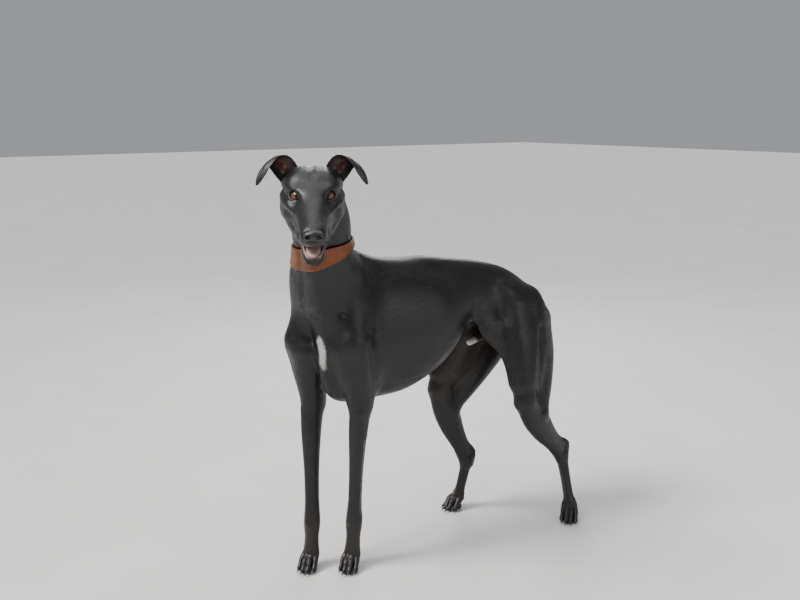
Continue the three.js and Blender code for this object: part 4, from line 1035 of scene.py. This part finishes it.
# Flat tufts of hair rooted on the skin, each three triangles that bend with the surface
def tufts_on(name, verts, faces, normals, count, seed, material, keep):
    rng = np.random.default_rng(seed)
    tri = np.concatenate([faces[:, [0, 1, 2]], faces[:, [0, 2, 3]]])
    a, b, c = verts[tri[:, 0]], verts[tri[:, 1]], verts[tri[:, 2]]
    area = np.linalg.norm(np.cross(b - a, c - a), axis=1) * keep((a + b + c) / 3)
    pick = rng.choice(len(tri), count, p=area / area.sum())
    u = rng.random((count, 2))
    flip = u.sum(axis=1) > 1
    u[flip] = 1 - u[flip]
    root = a[pick] + (b - a)[pick] * u[:, :1] + (c - a)[pick] * u[:, 1:]
    n = normals[tri[pick, 0]]
    which, run, turn, flow = lie_of(root, n)
    sway = rng.normal(0, 0.12, count)[:, None]
    cross = np.cross(n, flow)
    flow = flow + cross * sway
    flow /= np.linalg.norm(flow, axis=1)[:, None]
    cross = np.cross(n, flow)
    size = hair_length(root) * rng.uniform(0.7, 1.2, count)
    half = hair_width(root) * rng.uniform(0.7, 1.2, count) * 0.5
    lift = rng.uniform(0.15, 0.4, count)
    depth = np.where(above_collar(root) > 0, HEAD_INSET, INSET)
    mid = settle(ALL, root + flow * (size * 0.5)[:, None], depth, 1, 4.0)
    tip = settle(ALL, root + flow * size[:, None], depth, 1, 4.0)
    mid += n * lift[:, None]
    tip += n * (lift * rng.uniform(0.6, 1.5, count))[:, None]
    base = root - n * 0.25
    w = cross * half[:, None]
    points = np.stack([base - w, base + w, mid - w * 0.8, mid + w * 0.8, tip], axis=1).reshape(-1, 3)
    start = np.arange(count)[:, None] * 5
    tris = np.concatenate([start + [0, 3, 1], start + [0, 2, 3], start + [2, 4, 3]])
    lean = n + rng.normal(0, 0.05, (count, 3)) - flow * 0.05
    lean /= np.linalg.norm(lean, axis=1)[:, None]
    obj = make(name, points, tris, np.repeat(lean, 5, axis=0))
    tint = marks_of(root) * rng.uniform(0.75, 1.35, count)[:, None]
    paint(obj, np.repeat(tint, 5, axis=0))
    vectors(obj, "grain", np.repeat(grain_of(root, which), 5, axis=0))
    # One small patch for each tuft at its root's place in an unwrap of the body, line by line
    centre = np.stack([(which % ATLAS_COLUMNS + 0.04 + turn * 0.92) / ATLAS_COLUMNS,
                       (which // ATLAS_COLUMNS + 0.04 + run * 0.92) / ATLAS_COLUMNS], axis=1)
    patch = np.array([[-1, -1], [1, -1], [-1, 0], [1, 0], [0, 1]]) * TUFT_PATCH
    uv = (centre[:, None] + patch[None]).reshape(-1, 2)
    layer = obj.data.uv_layers.new(name="OFBake")
    layer.data.foreach_set("uv", uv[tris.ravel()].astype(np.float32).ravel())
    return dress(obj, material)


# A folded flap with bare skin inside
def build_ear(s, material):
    rows = [
        [-80, 38, 8, 21, 9], [-82, 47, 24, 24, 10], [-79, 57, 38, 23, 8], [-70, 69, 42, 20, 6],
        [-60, 82, 34, 15, 4], [-53, 92, 20, 9, 2], [-50, 99, 6, 2.5, 0.5],
    ]
    spine = smooth_rows(rows, 8)
    count = 28
    w = np.linspace(-1, 1, count + 1)
    front, back = [], []
    for i, row in enumerate(spine):
        t = unit((spine[min(i + 1, len(spine) - 1)] - spine[max(i - 1, 0)])[:3])
        across = vec([0.25, -0.75, 0.6])
        across = unit(across - t * (across @ t))
        deep = np.cross(t, across)
        share = i / (len(spine) - 1)
        edge = 1 + 0.012 * np.sin(i * 1.7 + w * 3)
        bend = row[4] * (1 - w ** 2) + 0.5 * np.sin(w * 9 + share * 6) * (1 - w ** 2)
        rim = 1.9 * np.sqrt(np.maximum(0.04, 1 - w ** 2 * 0.97)) * (1 - 0.5 * share)
        p = row[:3] + across * (w * row[3] * edge)[:, None] - deep * (bend + 0.4)[:, None]
        q = p - deep * rim[:, None]
        front.append(p)
        back.append(q)
    out = unit(UP * 0.7 + SIDE * 0.7 * s) * 0.3
    n = count + 1
    rings = []
    for f, b in zip(front, back):
        ring = np.concatenate([f, b[::-1]])
        ring[:, 1] *= s
        rings.append(HEAD_AT + HEAD_SIZE * (ring @ np.stack([AHEAD, SIDE, UP])) + out)
    verts = np.concatenate(rings)
    m = 2 * n
    faces = []
    for i in range(len(rings) - 1):
        for j in range(m):
            k = (j + 1) % m
            quad = [i * m + j, i * m + k, (i + 1) * m + k, (i + 1) * m + j]
            faces.append(quad if s < 0 else quad[::-1])
    name = "ear_" + WORD[s]
    obj = make(name, verts, faces)
    inner = np.tile(np.concatenate([np.ones(n), np.zeros(n)]), len(rings))
    edge = np.tile(np.concatenate([1 - np.abs(w), np.zeros(n)]), len(rings))
    share = np.repeat(np.linspace(0, 1, len(rings)), m)
    skin = np.clip(inner * (edge - 0.38) * 3, 0, 1) * np.clip(1.1 - share * 1.9, 0, 1)
    colour = np.repeat(BLACK[None], len(verts), axis=0)
    colour = toward(colour, np.array([0.085, 0.014, 0.012]), skin)
    spots = np.clip(ripple(verts, 4.6, 5) - 0.30, 0, 1) * np.clip(1 - share * 2.6, 0, 1)
    colour = toward(colour, PINK * 1.4, skin * spots * 4)
    paint(obj, colour)
    return dress(obj, material, [name])


# A ball with a low swell in front, turned to where it looks
def build_eye(s, material):
    eye = on_head(EYE_PLACE[0], EYE_PLACE[1] * s, EYE_PLACE[2])
    gaze = unit(unit(vec(GAZE_AT) - eye) * GAZE_SHARE + look_of(s) * 0.2)
    across = unit(np.cross(UP, gaze))
    rise = np.cross(gaze, across)
    rings, sides = 40, 64
    verts, faces = [], []
    for i in range(rings + 1):
        a = math.pi * i / rings
        r = EYE_RADIUS * (1 + 0.055 * math.exp(-(a / 0.42) ** 2)) * 0.985
        for j in range(sides):
            b = 2 * math.pi * j / sides
            verts.append([r * math.sin(a) * math.cos(b), r * math.sin(a) * math.sin(b), r * math.cos(a)])
    for i in range(rings):
        for j in range(sides):
            k = (j + 1) % sides
            faces.append([i * sides + j, (i + 1) * sides + j, (i + 1) * sides + k, i * sides + k])
    obj = make("eyeball_" + WORD[s], np.array(verts) - SHIFT, faces)
    turn = Matrix(np.stack([across, rise, gaze], axis=1).tolist()).to_4x4()
    obj.matrix_world = Matrix.Translation(Vector(((eye + SHIFT) * 0.001).tolist())) @ turn
    return dress(obj, material, ["eye_" + WORD[s]])


def build_nose(material):
    forms = [chain(in_head([[117, 0, -28, 15, 9.5], [126, 0, -28, 13.5, 9]]), SIDE, 6)]
    for s in (LEFT, RIGHT):
        forms.append(chain(in_head([[116, 9, -30, 8, 7.5], [126, 9, -30.5, 7.4, 7.2]], s), SIDE, 5))
    forms.append(chain(in_head([[116, 0, -39, 5, 5], [127, 0, -37.5, 4, 5]]), SIDE, 4))
    for s in (LEFT, RIGHT):
        hole = [[140, 6.6, -29.5, 3, 3], [131, 8.6, -29.3, 3.2, 3.5], [121, 11, -28, 2.4, 3]]
        slit = [[132, 10.5, -30.5, 2, 1.4], [126, 15.6, -31.5, 1.6, 1.2], [119, 18.5, -31.5, 1.5, 1]]
        forms.append(chain(in_head(hole, s), SIDE, 2, True))
        forms.append(chain(in_head(slit, s), SIDE, 2, True))
    groove = [[138.5, 0, -22, 0.8, 1.2], [137.5, 0, -31, 0.8, 1.2], [134, 0, -42, 1, 1.2]]
    forms.append(chain(in_head(groove), SIDE, 1.5, True))
    at = on_head(122, 0, -28)
    verts, faces = surface_net(forms, at - 30, at + 30, 0.8, 0.0, lambda p: p[:, 2] > -1)
    obj = make("nose_leather", verts, faces, normals_at(forms, verts))
    return dress(obj, material, ["nose"])


def build_tongue(material):
    rows = [[0, 0, -62, 13, 4], [34, 0, -66, 13.5, 4.4], [62, 0, -72, 13.6, 4.8],
            [84, 0, -76.5, 13, 4.6], [93, 0, -78, 10, 3.6]]
    forms = [chain(in_head(rows), SIDE, 5, steps=5)]
    groove = [[0, 0, -55.5, 2, 3], [40, 0, -60, 5, 3.6], [70, 0, -66.6, 7, 4], [84, 0, -69, 5, 3]]
    forms.append(chain(in_head(groove), SIDE, 5, True))
    low = np.minimum(on_head(-20, -20, -90), on_head(110, 20, -40)) - 30
    high = np.maximum(on_head(-20, -20, -90), on_head(110, 20, -40)) + 30
    verts, faces = surface_net(forms, low, high, 1.2, 0.0, lambda p: p[:, 2] > -1)
    obj = make("tongue_wet", verts, faces, normals_at(forms, verts))
    # Painted shade: the tongue is dark towards the back of the mouth and turns pale pink towards the front
    front = np.clip((to_head(verts)[:, 0] - 52) / 30, 0, 1)
    paint(obj, toward(np.repeat(FLESH[None] * 0.35, len(verts), axis=0), vec([0.72, 0.46, 0.43]), front))
    return dress(obj, material, ["tongue"])


# Collar: where the neck's surface lies from a point inside it
def leave(points, dirs):
    near, out = np.zeros(len(points)), np.full(len(points), 170.0)
    for _ in range(22):
        mid = (near + out) / 2
        d = field_at(BODY, points + dirs * mid[:, None])
        near = np.where(d < 0, mid, near)
        out = np.where(d < 0, out, mid)
    return near


def build_collar(material, thread):
    t = unit(COLLAR_NORMAL)
    s = unit(vec(NECK_SIDE) - t * (vec(NECK_SIDE) @ t))
    n = np.cross(t, s)
    mid = mix(NECK_ROWS[2][:3], NECK_ROWS[3][:3], 0.8)
    sides, layers = 180, 13
    turn = np.arange(sides) * 2 * math.pi / sides
    dirs = s * np.cos(turn)[:, None] + n * np.sin(turn)[:, None]
    half = COLLAR_NARROW + COLLAR_SWELL * (0.5 + 0.5 * np.cos(turn - COLLAR_WIDEST)) ** 1.2 - 0.3
    share = np.linspace(-1, 1, layers)
    base = mid + t * (half[:, None] * share)[..., None]
    flat = base.reshape(-1, 3)
    radius = leave(flat, np.repeat(dirs, layers, axis=0)).reshape(sides, layers)
    radius = (radius + np.roll(radius, 1, axis=0) + np.roll(radius, -1, axis=0)) / 3

    def shell(lift, squeeze=1.0):
        place = mid + t * (half[:, None] * share * squeeze)[..., None]
        return place + dirs[:, None] * (radius + lift)[..., None]

    inner = shell(COLLAR_LIFT, 0.985)
    puff = 0.5 * (1 - share ** 6)
    outer = shell(COLLAR_LIFT + COLLAR_THICK - 0.5 + puff, 0.99)
    edge_low = (inner[:, :1] + outer[:, :1]) / 2 - t * 0.35
    edge_high = (inner[:, -1:] + outer[:, -1:]) / 2 + t * 0.35
    ring = np.concatenate([inner, edge_high, outer[:, ::-1], edge_low], axis=1)
    m = ring.shape[1]
    i, j = np.meshgrid(np.arange(sides), np.arange(m), indexing="ij")
    k, l = (i + 1) % sides, (j + 1) % m
    quads = np.stack([i * m + j, i * m + l, k * m + l, k * m + j], axis=-1).reshape(-1, 4)
    band = make("collar_band", ring.reshape(-1, 3), quads)
    # Tone of the band: darker on the inner face against the neck and on the two edge strips, lighter along
    # the outer face's edges
    band_tone = np.ones((sides, m))
    band_tone[:, :layers] = 0.45
    band_tone[:, [layers, -1]] = 0.6
    band_tone[:, [layers + 1, layers * 2]] = 1.15
    paint(band, np.repeat(band_tone.reshape(-1, 1), 3, axis=1))
    dress(band, material, ["collar"])
    # Stitches along both edges
    rows_v, rows_f, at = [], [], 0
    for edge in (-1, 1):
        line = mid + t * (half * edge - edge * STITCH_INSET)[:, None]
        r = leave(line, dirs)
        r = (r + np.roll(r, 1) + np.roll(r, -1)) / 3
        line = line + dirs * (r + COLLAR_LIFT + COLLAR_THICK - 0.05)[:, None]
        closed = np.concatenate([line, line[:1]])
        step = np.linalg.norm(np.diff(closed, axis=0), axis=1)
        total = np.concatenate([[0], np.cumsum(step)])
        number = int(total[-1] / STITCH_STEP)
        for q in range(number):
            a0, a1 = total[-1] * (q + 0.14) / number, total[-1] * (q + 0.86) / number
            w = np.linspace(a0, a1, 5)
            path = np.stack([np.interp(w, total, closed[:, ax]) for ax in range(3)], axis=1)
            out = unit(path[2] - mid - t * ((path[2] - mid) @ t))
            path += out * (np.array([-0.35, 0.15, 0.3, 0.15, -0.35]))[:, None]
            along_dir = unit(path[4] - path[0])
            up = np.cross(along_dir, out)
            for p_i, wide in zip(path, (0.2, 0.42, 0.48, 0.42, 0.2)):
                for c in range(6):
                    ang = c * math.pi / 3
                    rows_v.append(p_i + (out * math.cos(ang) * 0.8 + up * math.sin(ang)) * wide)
            for ring_i in range(4):
                for c in range(6):
                    d = (c + 1) % 6
                    b0 = at + ring_i * 6
                    rows_f.append([b0 + c, b0 + d, b0 + 6 + d, b0 + 6 + c])
            at += 30
    stitches = make("collar_stitches", np.array(rows_v), rows_f)
    return dress(stitches, thread)


# Hair lengths and widths, shortest on face and feet
def hair_length(p):
    base = np.where(above_collar(p) > 0, HAIR_ON_NECK, HAIR_ON_BODY)
    q = to_head(p)
    face = (np.abs(q[:, 1]) < 75) & (q[:, 0] > -60) & (q[:, 0] < 150) & (np.abs(q[:, 2]) < 110)
    base = np.where(face, HAIR_ON_FACE, base)
    return np.where(p[:, 2] < 120, HAIR_ON_LEGS, base)


def hair_width(p):
    return np.where(hair_length(p) < 5, FINE_HAIR, COARSE_HAIR)


# 0 where no hair grows
def bare(pts):
    q = to_head(pts)
    inner = field_at(MOUTH, pts) < 2.5
    eyes = np.minimum(field_at(OPENINGS[LEFT], pts), field_at(OPENINGS[RIGHT], pts)) < 2.0
    at_nose = np.linalg.norm(q - [127, 0, -31], axis=1) < 15
    soles = pts[:, 2] < 3
    return np.where(inner | eyes | at_nose | soles, 0.0, 1.0)


def build_dog():
    verts, faces, normals = build_skin()
    coat = coat_material()
    skin = make("skin", verts, faces, normals)
    paint(skin, marks_of(verts))
    which = lie_of(verts, normals)[0]
    vectors(skin, "grain", grain_of(verts, which))
    dress(skin, coat, FLESH_NODES)

    def on_neck_and_head(p):
        return bare(p) * (above_collar(p) > 0)

    def on_body(p):
        return bare(p) * (above_collar(p) <= 0)

    for i, (name, count, keep) in enumerate((("coat_head", HEAD_TUFTS, on_neck_and_head),
                                             ("coat_body_a", BODY_TUFTS, on_body),
                                             ("coat_body_b", BODY_TUFTS, on_body))):
        tufts_on(name, verts, faces, normals, count, SEED + i, coat, keep)


build_dog()
ear_skin = painted_material("ear_skin", 380.0, 0.45)
eye_amber = eye_material()
for s in (LEFT, RIGHT):
    build_ear(s, ear_skin)
    build_eye(s, eye_amber)
build_nose(nose_material())
build_tongue(painted_material("tongue_wet", 420.0, 0.34, 0.5))
thread = plain_material("thread", (0.30, 0.16, 0.07), (0.16, 0.08, 0.035), 0.7, 1500.0, 0.4)
build_collar(leather_material(), thread)

horn = plain_material("claw_horn", (0.035, 0.028, 0.025), (0.012, 0.010, 0.010), 0.34, 260.0, 0.3)
for name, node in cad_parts.items():
    if name.startswith("claw"):
        node.data.materials.clear()
        node.data.materials.append(horn)

# Floor, light and camera
corners = np.array([[-20, -20, 0], [20, -20, 0], [20, 20, 0], [-20, 20, 0]]) * 1000.0
floor = make("floor", corners - SHIFT, [[0, 1, 2, 3]])
pale = plain_material("floor_pale", (0.62, 0.61, 0.59), (0.58, 0.57, 0.55), 0.8, 3.0, 0.05)
floor.data.materials.append(pale)

world = bpy.data.worlds.new("studio")
world.use_nodes = True
sky = world.node_tree.nodes["Background"]
sky.inputs["Color"].default_value = (0.92, 0.95, 1.0, 1)
sky.inputs["Strength"].default_value = 0.36
bpy.context.scene.world = world


def area(name, at, to, size, power, colour=(1, 1, 1)):
    light = bpy.data.lights.new(name, "AREA")
    light.shape = "RECTANGLE"
    light.size, light.size_y = size
    light.energy = power
    light.color = colour
    obj = bpy.data.objects.new(name, light)
    obj.location = at
    obj.rotation_euler = (Vector(to) - Vector(at)).to_track_quat("-Z", "Y").to_euler()
    bpy.context.scene.collection.objects.link(obj)


area("key", (0.2, -2.2, 2.6), (0, -0.1, 0.6), (1.8, 1.4), 40, (1.0, 0.98, 0.95))
area("top", (-0.1, -0.1, 3.0), (0, 0.0, 0.5), (2.4, 2.4), 40)
sun = bpy.data.lights.new("sky_glow", "SUN")
sun.energy = 4.0
sun.angle = math.radians(22)
sun_at = bpy.data.objects.new("sky_glow", sun)
sun_at.rotation_euler = Vector((0.3, 1.0, -1.15)).to_track_quat("-Z", "Y").to_euler()
bpy.context.scene.collection.objects.link(sun_at)
area("fill", (2.6, 0.9, 1.4), (0, 0, 0.5), (1.6, 1.6), 18, (0.95, 0.97, 1.0))
area("back", (-2.0, 1.6, 2.0), (0, 0, 0.6), (1.4, 1.4), 35)

lens = bpy.data.cameras.new("camera")
lens.lens = 40.5
lens.sensor_width = 36
camera = bpy.data.objects.new("camera", lens)
pitch = math.radians(11.92)
camera.location = (1.5152, -1.2509, 1.033)
sight = Vector((-0.7986 * math.cos(pitch), 0.6018 * math.cos(pitch), -math.sin(pitch)))
camera.rotation_euler = sight.to_track_quat("-Z", "Y").to_euler()
bpy.context.scene.collection.objects.link(camera)
bpy.context.scene.camera = camera
